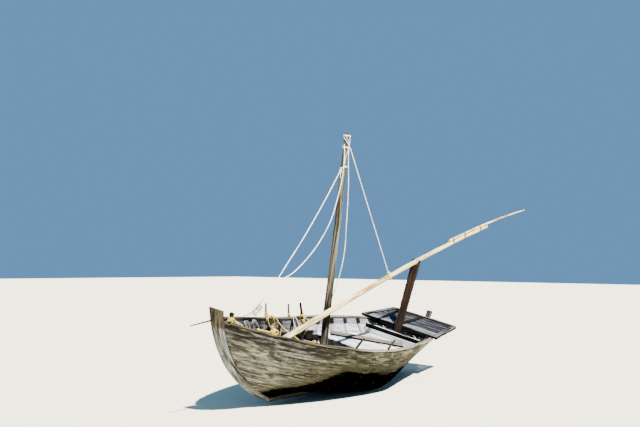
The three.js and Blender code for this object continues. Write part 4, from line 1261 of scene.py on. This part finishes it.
def make_beams():
    """Timbers from side to side: aft beam, bow beam and breasthook."""
    aft_top = DECK_Z + FIT + AFT_BEAM_HEIGHT
    for name, x, top, thick, depth, finish in (
        ("aft_beam", AFT_BEAM, aft_top, AFT_BEAM_HEIGHT, RISER_OUTER, "aft_beam"),
        ("bow_beam", BOW_BEAM_X, BOW_BEAM_TOP, BOW_BEAM_DEPTH, PLANK + RIB_FIT, "inner"),
        ("breasthook", BREASTHOOK, breasthook_top(), BREASTHOOK_THICK, PLANK + RIB_FIT, "keel"),
    ):
        reach = hull_reach(top - thick / 2, depth + 0.001)
        rings = across_rings(x, flat_top(top), thick, reach, 81 + len(name), 0.0008)
        timber(name, rings, finish, 80 + len(name), (rings[..., 2:] - top + thick) / thick)


def make_mast_step():
    """The block that carries the mast's foot: a sawn timber along the keel."""
    centre = points_at(np.linspace(*MAST_STEP, 30), 0, MAST_STEP_TOP - MAST_STEP_THICK / 2)
    block = sawn(centre, Y, Z, 2 * MAST_STEP_HALF, MAST_STEP_THICK - 2 * FIT, 0.006, 6)
    timber("mast_step", worn(block, 0.001, 0.1, 84), "foot", 84)


def make_mast_thwart():
    """The thwart that holds the mast: a board before the mast, one behind it, and a part on either side."""
    bottom = DECK_Z - BOARD
    hole = mast_at(bottom + THWART_THICK / 2)[0]
    gap = float(mast_radius(bottom)) + MAST_RAKE * THWART_THICK / 2 + FIT
    reach = hull_reach(bottom + THWART_THICK / 2, RISER_OUTER)
    thwart = Shape(seed=85)
    for part, x in enumerate(((THWART[0], hole - gap), (hole + gap, THWART[1]))):
        thwart.tube(across_rings(x, flat_top(bottom + THWART_THICK), THWART_THICK, reach, 86 + part))
    for side in (-1, 1):
        y = np.linspace(gap, float(reach(hole)[0]), 30) * side
        centre = points_at(hole, y, bottom + THWART_THICK / 2)
        thwart.tube(sawn(centre, AHEAD, Z, 2 * gap, THWART_THICK - 2 * FIT, 0.002, 4))
    thwart.make("mast_thwart_wood", FINISH["foot"], stands_for=["mast_thwart"])


# Mast, spar and crutch. A blunt end draws in to two shares of its radius at its last two rings.
MAST_SWAY = 0.004
MAST_ROUND = 0.012
MAST_BLUNT, STICK_BLUNT, SPAR_BLUNT = (0.9, 0.62), (0.88, 0.6), 0.7


def make_mast():
    """A tapered pole with slight bends and knots, its head cut round."""
    shank = np.linspace(MAST_STEP_TOP, MAST_TOP - MAST_ROUND, 150)
    z = np.concatenate([shank, [MAST_TOP - MAST_ROUND / 3, MAST_TOP]])
    radius = mast_radius(z)
    radius[-2:] *= MAST_BLUNT
    path = mast_at(z)
    sway = np.minimum(1, (z - MAST_STEP_TOP) / 1.0) * np.minimum(1, (MAST_TOP - z) / 0.5)
    path[:, 0] += MAST_SWAY * ripple(path, 1.1, 91) * sway
    path[:, 1] += MAST_SWAY * ripple(path, 0.9, 92) * sway
    up = ((z - MAST_STEP_TOP) / (MAST_TOP - MAST_STEP_TOP))[:, None, None]
    timber("mast", pole(path, radius, 28, Y, wear=0.0018, length=0.14, seed=93), "mast", 90, up)


KNOT_SPACING, KNOT_START, KNOT_LENGTH, KNOT_SWELL = 0.46, 0.1, 0.016, 0.05
PEELED = 0.98


def make_spar():
    """The pole and its tip: peeled stems with faint swellings where branches were cut off."""
    for name, ends, radii, lift in (
        ("spar_pole", (0, POLE_SHARE), (POLE_HEEL, POLE_END), 0.0),
        ("spar_tip", (TIP_FROM, 1), (TIP_BUTT, TIP_END), POLE_END + TIP_BUTT + TIP_GAP),
    ):
        share = np.linspace(*ends, 200)
        path = spar_at(share)
        up = facing(path, Z)[1]
        path = path + up * np.sign(up[:, 2:]) * lift
        run = run_along(path)
        radius = lerp(*radii, run / run[-1])
        knots = np.exp(-(((run + KNOT_START) % KNOT_SPACING - KNOT_SPACING / 2) / KNOT_LENGTH) ** 2)
        radius = radius * (PEELED + KNOT_SWELL * knots)
        radius[-1] *= SPAR_BLUNT
        rings = pole(path, radius, 20, Y, wear=0.0009, length=0.2, seed=96 + len(name))
        timber(name, rings, "spar", 95, body="spar")


CRUTCH_X, CRUTCH_RAKE, CRUTCH_HALF, CRUTCH_THICK = -1.160, 0.157, 0.057, 0.045
CRUTCH_PRONG, CRUTCH_ROOM, CRUTCH_NARROWER = 0.066, 0.005, 0.012
PRONG_OPENS, PRONG_THINS = 0.008, 0.004


def make_crutch():
    """A raked board with a forked head: a shank and two prongs beside the spar."""
    share = spar_share(CRUTCH_X + CRUTCH_THICK / 2)
    centre = spar_at(np.array([share]))[0]
    radius = spar_radius(share)
    slope = bezier(SPAR_POINTS, np.array([share - 0.01, share + 0.01]))
    run = np.diff(slope, axis=0)[0]
    under = centre[2] - radius * np.linalg.norm(run) / abs(run[0]) - 2 * FIT
    lift = CRUTCH_THICK / 2 * math.sin(CRUTCH_RAKE)
    foot = DECK_Z + FIT + lift
    height = (under - lift - foot) / math.cos(CRUTCH_RAKE)
    along = np.array([-math.sin(CRUTCH_RAKE), 0, math.cos(CRUTCH_RAKE)])
    thick_way = np.cross(Y, along)
    base = np.array([CRUTCH_X + math.sin(CRUTCH_RAKE) * height, spar_side(CRUTCH_X), foot])
    slot = radius + CRUTCH_ROOM
    shape = Shape(seed=98)
    up = np.linspace(0.001, height, 60)
    width = 2 * lerp(CRUTCH_HALF - CRUTCH_NARROWER, CRUTCH_HALF, up / height)
    shank = sawn(base + up[:, None] * along, Y, thick_way, width, CRUTCH_THICK, 0.005, 8)
    shape.tube(worn(shank, 0.0022, 0.12, 98))
    for side in (-1, 1):
        up = np.linspace(height - 0.004, height + CRUTCH_PRONG, 14)
        share = np.linspace(0, 1, 14)
        inner_edge = slot + PRONG_OPENS * share
        outer_edge = CRUTCH_HALF - PRONG_THINS * share
        middle = (inner_edge + outer_edge) / 2
        width = outer_edge - inner_edge
        centres = base + up[:, None] * along + side * middle[:, None] * Y
        prong = sawn(centres, Y, thick_way, width, CRUTCH_THICK - 0.001, 0.004, 3)
        shape.tube(worn(prong, 0.0012, 0.05, 99))
    shape.make("crutch_wood", FINISH["brown"], stands_for=["crutch"])


# Stern platform
FRONT, REAR = -1.062, -1.822
FRONT_HALF, REAR_HALF = 0.587, 0.514
RISE, RIM, END_WIDTH, PLATFORM_BOARD, INSET, BATTEN = 0.09, 0.036, 0.062, 0.020, 0.016, 0.052
FRONT_DROP, FRONT_NOTCH, REAR_NOTCH = 0.044, 0.420, 0.235
PLATFORM_INSIDE = (REAR + RIM + FIT, FRONT - RIM - FIT)
PLATFORM_NODES = 4
PLANKS_A_NODE = 2
CORNER_ROUND, CORNER_WIDTH = 0.075, 0.012


def platform_top(x):
    """Level of the platform's upper face, which rises evenly aft."""
    return cap_top(FRONT) + 2 * FIT + RIM + (FRONT - np.asarray(x, float)) * RISE


def rim_height(rings):
    """How high each point lies in the rim, from 0 at its underside to 1 at its top, for its finish."""
    return 1 + (rings[..., 2:] - platform_top(rings[..., :1])) / RIM


def platform_half(x):
    """Half the platform's width, which narrows evenly aft."""
    return lerp(FRONT_HALF, REAR_HALF, (FRONT - np.asarray(x, float)) / (FRONT - REAR))


def plank_top(x):
    """Level of the platform planks' upper faces."""
    return platform_top(x) - INSET


def plank_reach(x):
    """Half length of the platform's planks, up to its end boards."""
    return platform_half(x) - END_WIDTH - FIT


def make_platform_beams():
    """The front and the rear beam: a rim from side to side, rounded at the rear corners, and a deeper part
    between the rails."""
    for name, x, outer_x, drop, notch in (
        ("platform_front_beam", (FRONT - RIM, FRONT), FRONT, FRONT_DROP, FRONT_NOTCH),
        ("platform_rear_beam", (REAR, REAR + RIM), REAR, None, REAR_NOTCH),
    ):
        middle = (x[0] + x[1]) / 2
        top, half = float(platform_top(outer_x)), float(platform_half(outer_x))
        low = top - RIM - drop if drop else cap_top(REAR + RIM) + FIT
        y = np.linspace(-half, half, 70)
        past = np.maximum(0, np.abs(y) - half + CORNER_ROUND)
        inward = np.zeros(70) if drop else past ** 2 / CORNER_ROUND * 0.5
        width = np.maximum(CORNER_WIDTH, RIM - inward)
        centre = points_at(middle + (RIM - width) / 2, y, top - RIM / 2)
        rings = worn(sawn(centre, AHEAD, Z, width, RIM, 0.004, 3), 0.0014, 0.12, 111 + len(name))
        shape = Shape(seed=110 + len(name))
        shape.tube(rings, place=rim_height(rings))
        centre = points_at(middle, np.linspace(-notch, notch, 50), (top - RIM + low) / 2 + 0.002)
        deeper = sawn(centre, AHEAD, Z, RIM - 0.001, top - RIM - low + 0.004, 0.004, 3)
        shape.tube(worn(deeper, 0.001, 0.2, 113))
        shape.make(f"{name}_wood", FINISH["rim"], stands_for=[name])


def make_platform_ends():
    """The boards at the platform's sides, between its beams, and the batten along its middle."""
    x = np.linspace(*PLATFORM_INSIDE, 50)
    for side_name, side in SIDES:
        centre = points_at(x, platform_half(x) - END_WIDTH / 2, platform_top(x) - RIM / 2)
        rings = worn(sawn(centre, Y, Z, END_WIDTH - 0.001, RIM, 0.005, 4), 0.0016, 0.14, 120 + side)
        timber(f"platform_end_{side_name}", mirrored(rings, side), "rim", 120 + side, rim_height(rings))
    batten = sawn(points_at(x, 0, platform_top(x) - INSET / 2), Y, Z, BATTEN, INSET - FIT, 0.003, 4)
    timber("platform_batten", worn(batten, 0.001, 0.15, 123), "foot", 123)


def make_platform_planks():
    """Four pairs of planks across the platform, sunk below its rim. The front pair is bleached."""
    pitch = (PLATFORM_INSIDE[1] - PLATFORM_INSIDE[0]) / PLATFORM_NODES
    width = pitch / PLANKS_A_NODE
    for i in range(PLATFORM_NODES):
        start = PLATFORM_INSIDE[1] - (i + 1) * pitch
        shape = Shape(seed=125 + i)
        for j in range(PLANKS_A_NODE):
            span = (start + j * width + BOARD_GAP, start + (j + 1) * width)
            shape.tube(across_rings(span, plank_top, PLATFORM_BOARD, plank_reach, 130 + 5 * i + j, 0.0016))
        name = f"platform_plank_{i + 1}"
        shape.make(f"{name}_wood", FINISH["front" if i == 0 else "dark"], stands_for=[name])


# Small fittings. Thole pins: name, station, side, height, lean ahead and outwards
PINS = [
    ("thole_pin_port_fore", 0.880, 1, 0.115, (-0.060, 0.035)),
    ("thole_pin_port_aft", 0.340, 1, 0.115, (-0.060, 0.035)),
    ("thole_pin_starboard_fore", 1.000, -1, 0.150, (0.010, 0.034)),
    ("thole_pin_starboard_aft", 0.470, -1, 0.150, (0.010, 0.034)),
]
PIN_RADIUS = 0.013
POST_X, POST_RADIUS, POST_NECK, POST_HEIGHT = 2.205, 0.017, 0.110, 0.145
BELAYING_FOOT_X, BELAYING_RADIUS, FOOT_TRIM = 0.682, 0.015, 0.33
BELAYING_FOOT = (BELAYING_FOOT_X, 0, rib_inside(BELAYING_FOOT_X + BELAYING_RADIUS, BELAYING_RADIUS))
BELAYING_HEAD = (1.190, 0, 1.262)
SPIKE_Z, SPIKE_TIP, SPIKE_RADIUS, SPIKE_TIP_RADIUS = 1.149, (2.700, 0, 1.116), 0.008, 0.005


def pin_ends(x, side, height, lean):
    """Foot and head of a thole pin on the rail."""
    out = rail_middle(x)
    dip = PIN_RADIUS * math.sin(math.atan(math.hypot(*lean) / height))
    foot = np.array([x, side * out, cap_top(x + math.copysign(PIN_RADIUS, lean[0])) + dip + 2 * FIT])
    return foot, foot + [lean[0], side * lean[1], height]


def stick(node, foot, head, radii, finish, seed, bend=0.004, wear=0.001, stuff="wood"):
    """A stick from foot to head, with a slight bend, whittled faces and a blunt end."""
    foot, head = np.asarray(foot, float), np.asarray(head, float)
    share = np.concatenate([[0, 0.01], np.linspace(0.03, 0.97, 40), [0.99, 1]])
    path = lerp(foot, head, share[:, None])
    path[:, 0] += bend * np.sin(np.pi * share)
    radius = lerp(*radii, share)
    radius[-2:] *= STICK_BLUNT
    rings = pole(path, radius, 16, (0.3, 0.9, 0.1), wear, 0.05, seed)
    timber(node, rings, finish, seed, share[:, None, None], stuff)


def make_thole_pins():
    """Two pins on each rail."""
    for i, (name, x, side, height, lean) in enumerate(PINS):
        foot, head = pin_ends(x, side, height, lean)
        finish = "pin" if side > 0 else "inner"
        stick(name, foot, head, (PIN_RADIUS, PIN_RADIUS * 0.8), finish, 140 + i)


def make_bow_post():
    """The bow post: a round shank that thickens above its neck to a rounded head, after a list of heights
    and radii."""
    foot = breasthook_top() + FIT
    heights = [0, 0.02, 0.06, POST_NECK - 0.01, POST_NECK, POST_NECK + 0.009, POST_HEIGHT - 0.015,
               POST_HEIGHT - 0.006, POST_HEIGHT]
    radii = np.array([1, 1, 0.96, 0.94, 1.1, 1.38, 1.4, 1.2, 0.7]) * POST_RADIUS
    up = np.linspace(0, POST_HEIGHT, 40)
    path = points_at(POST_X, 0, foot + up)
    timber("bow_post", pole(path, np.interp(up, heights, radii), 20, Y, 0.0012, 0.05, 150), "black", 150)


def make_belaying_pole():
    """The pole that stands on a rib amidships, its foot trimmed to the rib's slope."""
    foot = np.add(BELAYING_FOOT, [0, 0, FOOT_TRIM * BELAYING_RADIUS])
    radii = (BELAYING_RADIUS, BELAYING_RADIUS - 0.002)
    stick("belaying_pole", foot, BELAYING_HEAD, radii, "belaying", 151)


def make_stem_spike():
    """The iron spike, driven into the stem's front edge."""
    front = evenly(upright(bezier(STEM_FRONT, np.linspace(0, 1, 200))), 400)
    root = (float(np.interp(SPIKE_Z, front[:, 2], front[:, 0])) + 7 * FIT, 0, SPIKE_Z)
    radii = (SPIKE_RADIUS, SPIKE_TIP_RADIUS)
    stick("stem_spike", root, SPIKE_TIP, radii, "iron", 152, 0.0, 0.0006, "iron")


def make_halyard():
    """The halyard from the masthead to the spar: a straight line."""
    tie = spar_at(spar_share(HALYARD_TIE_X)) + [0, 0, spar_radius(spar_share(HALYARD_TIE_X))]
    path = lerp(np.array(HALYARD_HEAD), tie, np.linspace(0, 1, 60)[:, None])
    line = rope_piece("halyard_rope", path, "white_rope", stands_for=["halyard"], body=None)
    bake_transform(line)


def rope_work(name, lines, finish, radius=LINE, body="hull"):
    """Lashings or taut parts of one rope, as one piece."""
    shape = Shape(seed=len(name))
    for line in lines:
        shape.tube(laid_rope(np.asarray(line, float), radius, lay=8 * radius))
    shape.make(name, FINISH[finish], body=body)


def round_mast(angle, z, room=THIN):
    """A point on the mast's side, at an angle round it from straight ahead towards port, in degrees."""
    turn = math.radians(angle)
    reach = float(mast_radius(z)) + room
    return mast_at(z) + [reach * math.cos(turn), reach * math.sin(turn), 0]


# Parts of rope down the masthead: angle and height of both ends
MAST_PARTS = [((-35, 3.075), (112, 2.976)), ((5, 3.095), (114, 2.982)), ((95, 3.095), (118, 2.970))]


def make_mast_ropes():
    """A ring below the masthead with three parts led down to a hitch, and the stay's collar and knot."""
    lean = unit(np.array([MAST_RAKE, 0, 1.0]))
    reach = float(mast_radius(3.0)) + THIN
    turns = [winding(mast_at(3.090), lean, Y, (reach, reach), 2, 2 * THIN),
             winding(mast_at(2.966), lean, Y, (reach, reach), 2, 2 * THIN, start=1.0)]
    for start, end in MAST_PARTS:
        slants = lerp(np.array(start), np.array(end), np.linspace(0, 1, 14)[:, None])
        turns.append(np.array([round_mast(angle, z, 1.6 * THIN) for angle, z in slants]))
    lead = [round_mast(112, 2.966, 2 * THIN), round_mast(78, 2.925, 2 * THIN),
            round_mast(52, 2.87, 2 * THIN), (0.921, 0.033, 2.790)]
    turns.append(through(lead, 20))
    rope_work("masthead_hitch", turns, "white_rope", THIN)
    reach = float(mast_radius(2.745)) + THIN
    tilted = unit(lean + 0.42 * unit(np.array([0.588, -0.809, 0])))
    stay = np.array(FORESTAY[:2])
    down = unit(stay[1] - stay[0])
    tail_top = stay[0] + down * 0.030 + [0, 0.014, 0]
    collar = [winding(mast_at(2.752), tilted, Y, (reach, reach * 1.08), 2, 2 * THIN),
              winding(stay[0] + down * 0.024, down, Y, (0.0085, 0.0085), 3, 0.0085),
              through([tail_top, (0.944, 0.024, 2.668), (0.938, 0.030, 2.630)], 12)]
    rope_work("stay_collar", collar, "white_rope", THIN)


SPAR_LASHINGS = [0.533, 0.589, 0.673]
HEEL_LASHING_HALF = 0.052


def make_spar_ropes():
    """Turns that bind the tip to the pole, each an oval round both, and the halyard's hitch on the pole."""
    turns = []
    for share in SPAR_LASHINGS:
        middle, along = spar_course(share)
        up = unit(np.cross(along, np.cross(Z, along)))
        tip = lerp(TIP_BUTT, TIP_END, (share - TIP_FROM) / (1 - TIP_FROM))
        top, bottom = POLE_END + TIP_BUTT + TIP_GAP + tip, -spar_radius(share)
        radii = ((top - bottom) / 2 + THIN, -bottom + THIN)
        turns.append(winding(middle + up * (top + bottom) / 2, along, up, radii, 5, 2 * THIN))
    rope_work("spar_lashings", turns, "brown_rope", THIN, body="spar")
    share = spar_share(HALYARD_TIE_X)
    middle, along = spar_course(share)
    reach = spar_radius(share) + ROPE
    top = middle + [0, 0, reach]
    pull = unit(np.array(HALYARD_HEAD) - top)
    hitch = [winding(middle, along, Z, (reach, reach), 3, 2 * ROPE),
             winding(top + pull * 0.020, pull, Y, (0.013, 0.013), 3, 0.012)]
    rope_work("halyard_hitch", hitch, "cream_rope", ROPE, body="spar")


def make_heel_lashing():
    """Two crossed sets of turns over the spar's heel and under the bow beam."""
    middle_x = (BOW_BEAM_X[0] + BOW_BEAM_X[1]) / 2
    heel = spar_at(np.array([spar_share(middle_x)]))[0]
    top = heel[2] + POLE_HEEL
    bottom = BOW_BEAM_TOP - BOW_BEAM_DEPTH
    centre = np.array([middle_x, heel[1], (top + bottom) / 2])
    radii = ((top - bottom) / 2 + 1.6 * LINE, HEEL_LASHING_HALF)
    turns = [winding(centre, (1, way, 0), Z, radii, 4, 2.1 * LINE) for way in (-1, 1)]
    rope_work("heel_lashing", turns, "cream_rope", LINE)


def make_bow_ropes():
    """Yellow turns round the bow post, two parts led to the port rail and a small loop."""
    low = breasthook_top()
    reach = POST_RADIUS + LINE
    lines = [
        winding((POST_X, 0, low + 0.078), Z, Y, (reach, reach), 5, 2 * LINE),
        through([(2.205, 0.021, low + 0.100), (2.197, 0.050, 1.143), (2.190, 0.085, 1.134),
                 (2.186, 0.104, 1.112), (2.184, 0.108, 1.070)], 24),
        through([(2.200, 0.021, low + 0.060), (2.172, 0.055, 1.118), (2.152, 0.095, 1.116),
                 (2.146, 0.116, 1.098), (2.145, 0.120, 1.060)], 24),
        through([(2.190, 0.014, low + 0.085), (2.225, 0.024, 1.140), (2.252, 0.004, 1.132),
                 (2.246, -0.020, 1.108), (2.220, -0.024, 1.098), (2.200, -0.018, 1.100)], 24),
    ]
    rope_work("bow_post_ropes", lines, "yellow_rope")


def port_rail(x, above):
    """A point over the middle of the port rail cap."""
    return np.array([x, rail_middle(x), cap_top(x) + above])


def make_rail_ropes():
    """Rope made up along the port rail: two parts laid on the cap, a bunch of turns, an orange end aft."""
    laid_at = ((2.060, -0.012), (2.020, -0.006), (1.975, -0.012), (1.925, -0.008))
    laid = through([port_rail(x, LINE) + [0, inboard, 0] for x, inboard in laid_at], 40)
    second = laid - [0.012, 0.011, -0.002]
    bunch = port_rail(1.905, 0.022)
    turns = [winding(bunch, (0.25, 1, 0), AHEAD, (0.036, 0.019), 4, 0.010),
             winding(bunch + [0.004, -0.004, 0.010], (-0.5, 0.7, 0.4), AHEAD, (0.026, 0.022), 3, 0.010)]
    rope_work("rail_bunch", [laid, second, *turns], "yellow_rope")
    knot = port_rail(1.462, 0.010)
    rope_work("rail_end", [winding(knot, (0.9, 0.3, 0.1), Z, (0.009, 0.013), 4, 0.011)], "orange_rope")
    lead = [knot + [0.01, 0, -0.004], port_rail(1.520, LINE), port_rail(1.580, LINE) - [0, 0.008, 0]]
    rope_work("rail_end_lead", [through(lead, 20)], "grey_rope", THIN)


def make_pin_ropes():
    """Turns round the starboard pins, and round the belaying pole in two groups."""
    lines = []
    for name, x, side, height, lean in PINS[2:]:
        foot, head = pin_ends(x, side, height, lean)
        reach = PIN_RADIUS + LINE
        turns = 4 if name.endswith("fore") else 2
        lines.append(winding(lerp(foot, head, 0.16), head - foot, Y, (reach, reach), turns, 2 * LINE))
    rope_work("pin_turns", lines, "yellow_rope")
    low, top = np.array(BELAYING_FOOT), np.array(BELAYING_HEAD)
    reach = BELAYING_RADIUS + LINE
    lines = [winding(lerp(low, top, share), top - low, Y, (reach, reach), turns, 2 * LINE)
             for share, turns in ((0.855, 3), (0.79, 4))]
    rope_work("belaying_turns", lines, "yellow_rope")


NAIL_RADIUS, NAIL_HEIGHT = 0.0055, 0.0009
NAIL_STATIONS = RIB_STATIONS + [-1.20, -1.50, 1.46, 1.71, 1.95]
NAIL_EDGE = 0.022
NAILED_PLANKS = np.arange(2, 8)


def make_nails():
    """Nail heads in pairs where planks cross ribs: low domes on the hull's outside, square to it."""
    angle = np.arange(8) * np.pi / 4
    reach = np.array([1, 0.98, 0.75, 0.3])[:, None, None] * NAIL_RADIUS
    height = np.array([-1.5, 0.4, 0.85, 1])[:, None, None] * NAIL_HEIGHT
    plank = STRAKE_SHARE / PLANKS_A_STRAKE
    t = (NAILED_PLANKS[:, None] * plank + np.array([NAIL_EDGE, plank - NAIL_EDGE])).ravel()
    for side_name, side in SIDES:
        shape = Shape(seed=170 + side)
        for x in NAIL_STATIONS:
            at, ahead = at_station(x, t, SKIN), at_station(x + 0.004, t, SKIN)
            out = unit(at - at_station(x, t, SKIN + 0.010))
            first = unit(ahead - at)
            second = np.cross(out, first)
            circle = first[:, None] * np.cos(angle)[:, None] + second[:, None] * np.sin(angle)[:, None]
            for centre, ring, normal in zip(at, circle, out):
                shape.tube(mirrored(centre + ring[None] * reach + normal * height, side))
        shape.make(f"plank_nails_{side_name}", FINISH["iron"])


make_halyard()
make_shell()
make_caps()
make_backbone()
make_ribs()
make_risers()
make_deck()
make_loose_board()
make_beams()
make_mast_step()
make_mast_thwart()
make_mast()
make_spar()
make_crutch()
make_platform_beams()
make_platform_ends()
make_platform_planks()
make_thole_pins()
make_bow_post()
make_belaying_pole()
make_stem_spike()
make_mast_ropes()
make_spar_ropes()
make_heel_lashing()
make_bow_ropes()
make_rail_ropes()
make_pin_ropes()
make_nails()


# Floor, light and surroundings
FLOOR_REACH = 60.0
SUN_AZIMUTH, SUN_HEIGHT, SUN_SOFTNESS, SUN_STRENGTH = 61, 49, 1.5, 20.0
SUN_COLOUR = (1.0, 0.97, 0.92)
SKY, SKY_STRENGTH = "669acb", 1.0


def make_surroundings():
    """A plain pale floor, one soft sun from the right behind the camera, and an even blue sky."""
    mesh = bpy.data.meshes.new("floor")
    corners = [(x * FLOOR_REACH, y * FLOOR_REACH, 0) for x, y in ((-1, -1), (1, -1), (1, 1), (-1, 1))]
    mesh.from_pydata(corners, [], [(0, 1, 2, 3)])
    mesh.materials.append(pale_sand())
    floor = bpy.data.objects.new("floor", mesh)
    bpy.context.scene.collection.objects.link(floor)
    sun = bpy.data.lights.new("sun", "SUN")
    sun.energy = SUN_STRENGTH
    sun.angle = math.radians(SUN_SOFTNESS)
    sun.color = SUN_COLOUR
    lamp = bpy.data.objects.new("sun", sun)
    azimuth, height = math.radians(SUN_AZIMUTH), math.radians(SUN_HEIGHT)
    lamp.rotation_euler = (math.pi / 2 - height, 0, azimuth + math.pi / 2)
    bpy.context.scene.collection.objects.link(lamp)
    world = bpy.data.worlds.new("sky")
    world.use_nodes = True
    sky = world.node_tree.nodes["Background"]
    sky.inputs[0].default_value = tint(SKY, 1.0)
    sky.inputs[1].default_value = SKY_STRENGTH
    bpy.context.scene.world = world


make_surroundings()
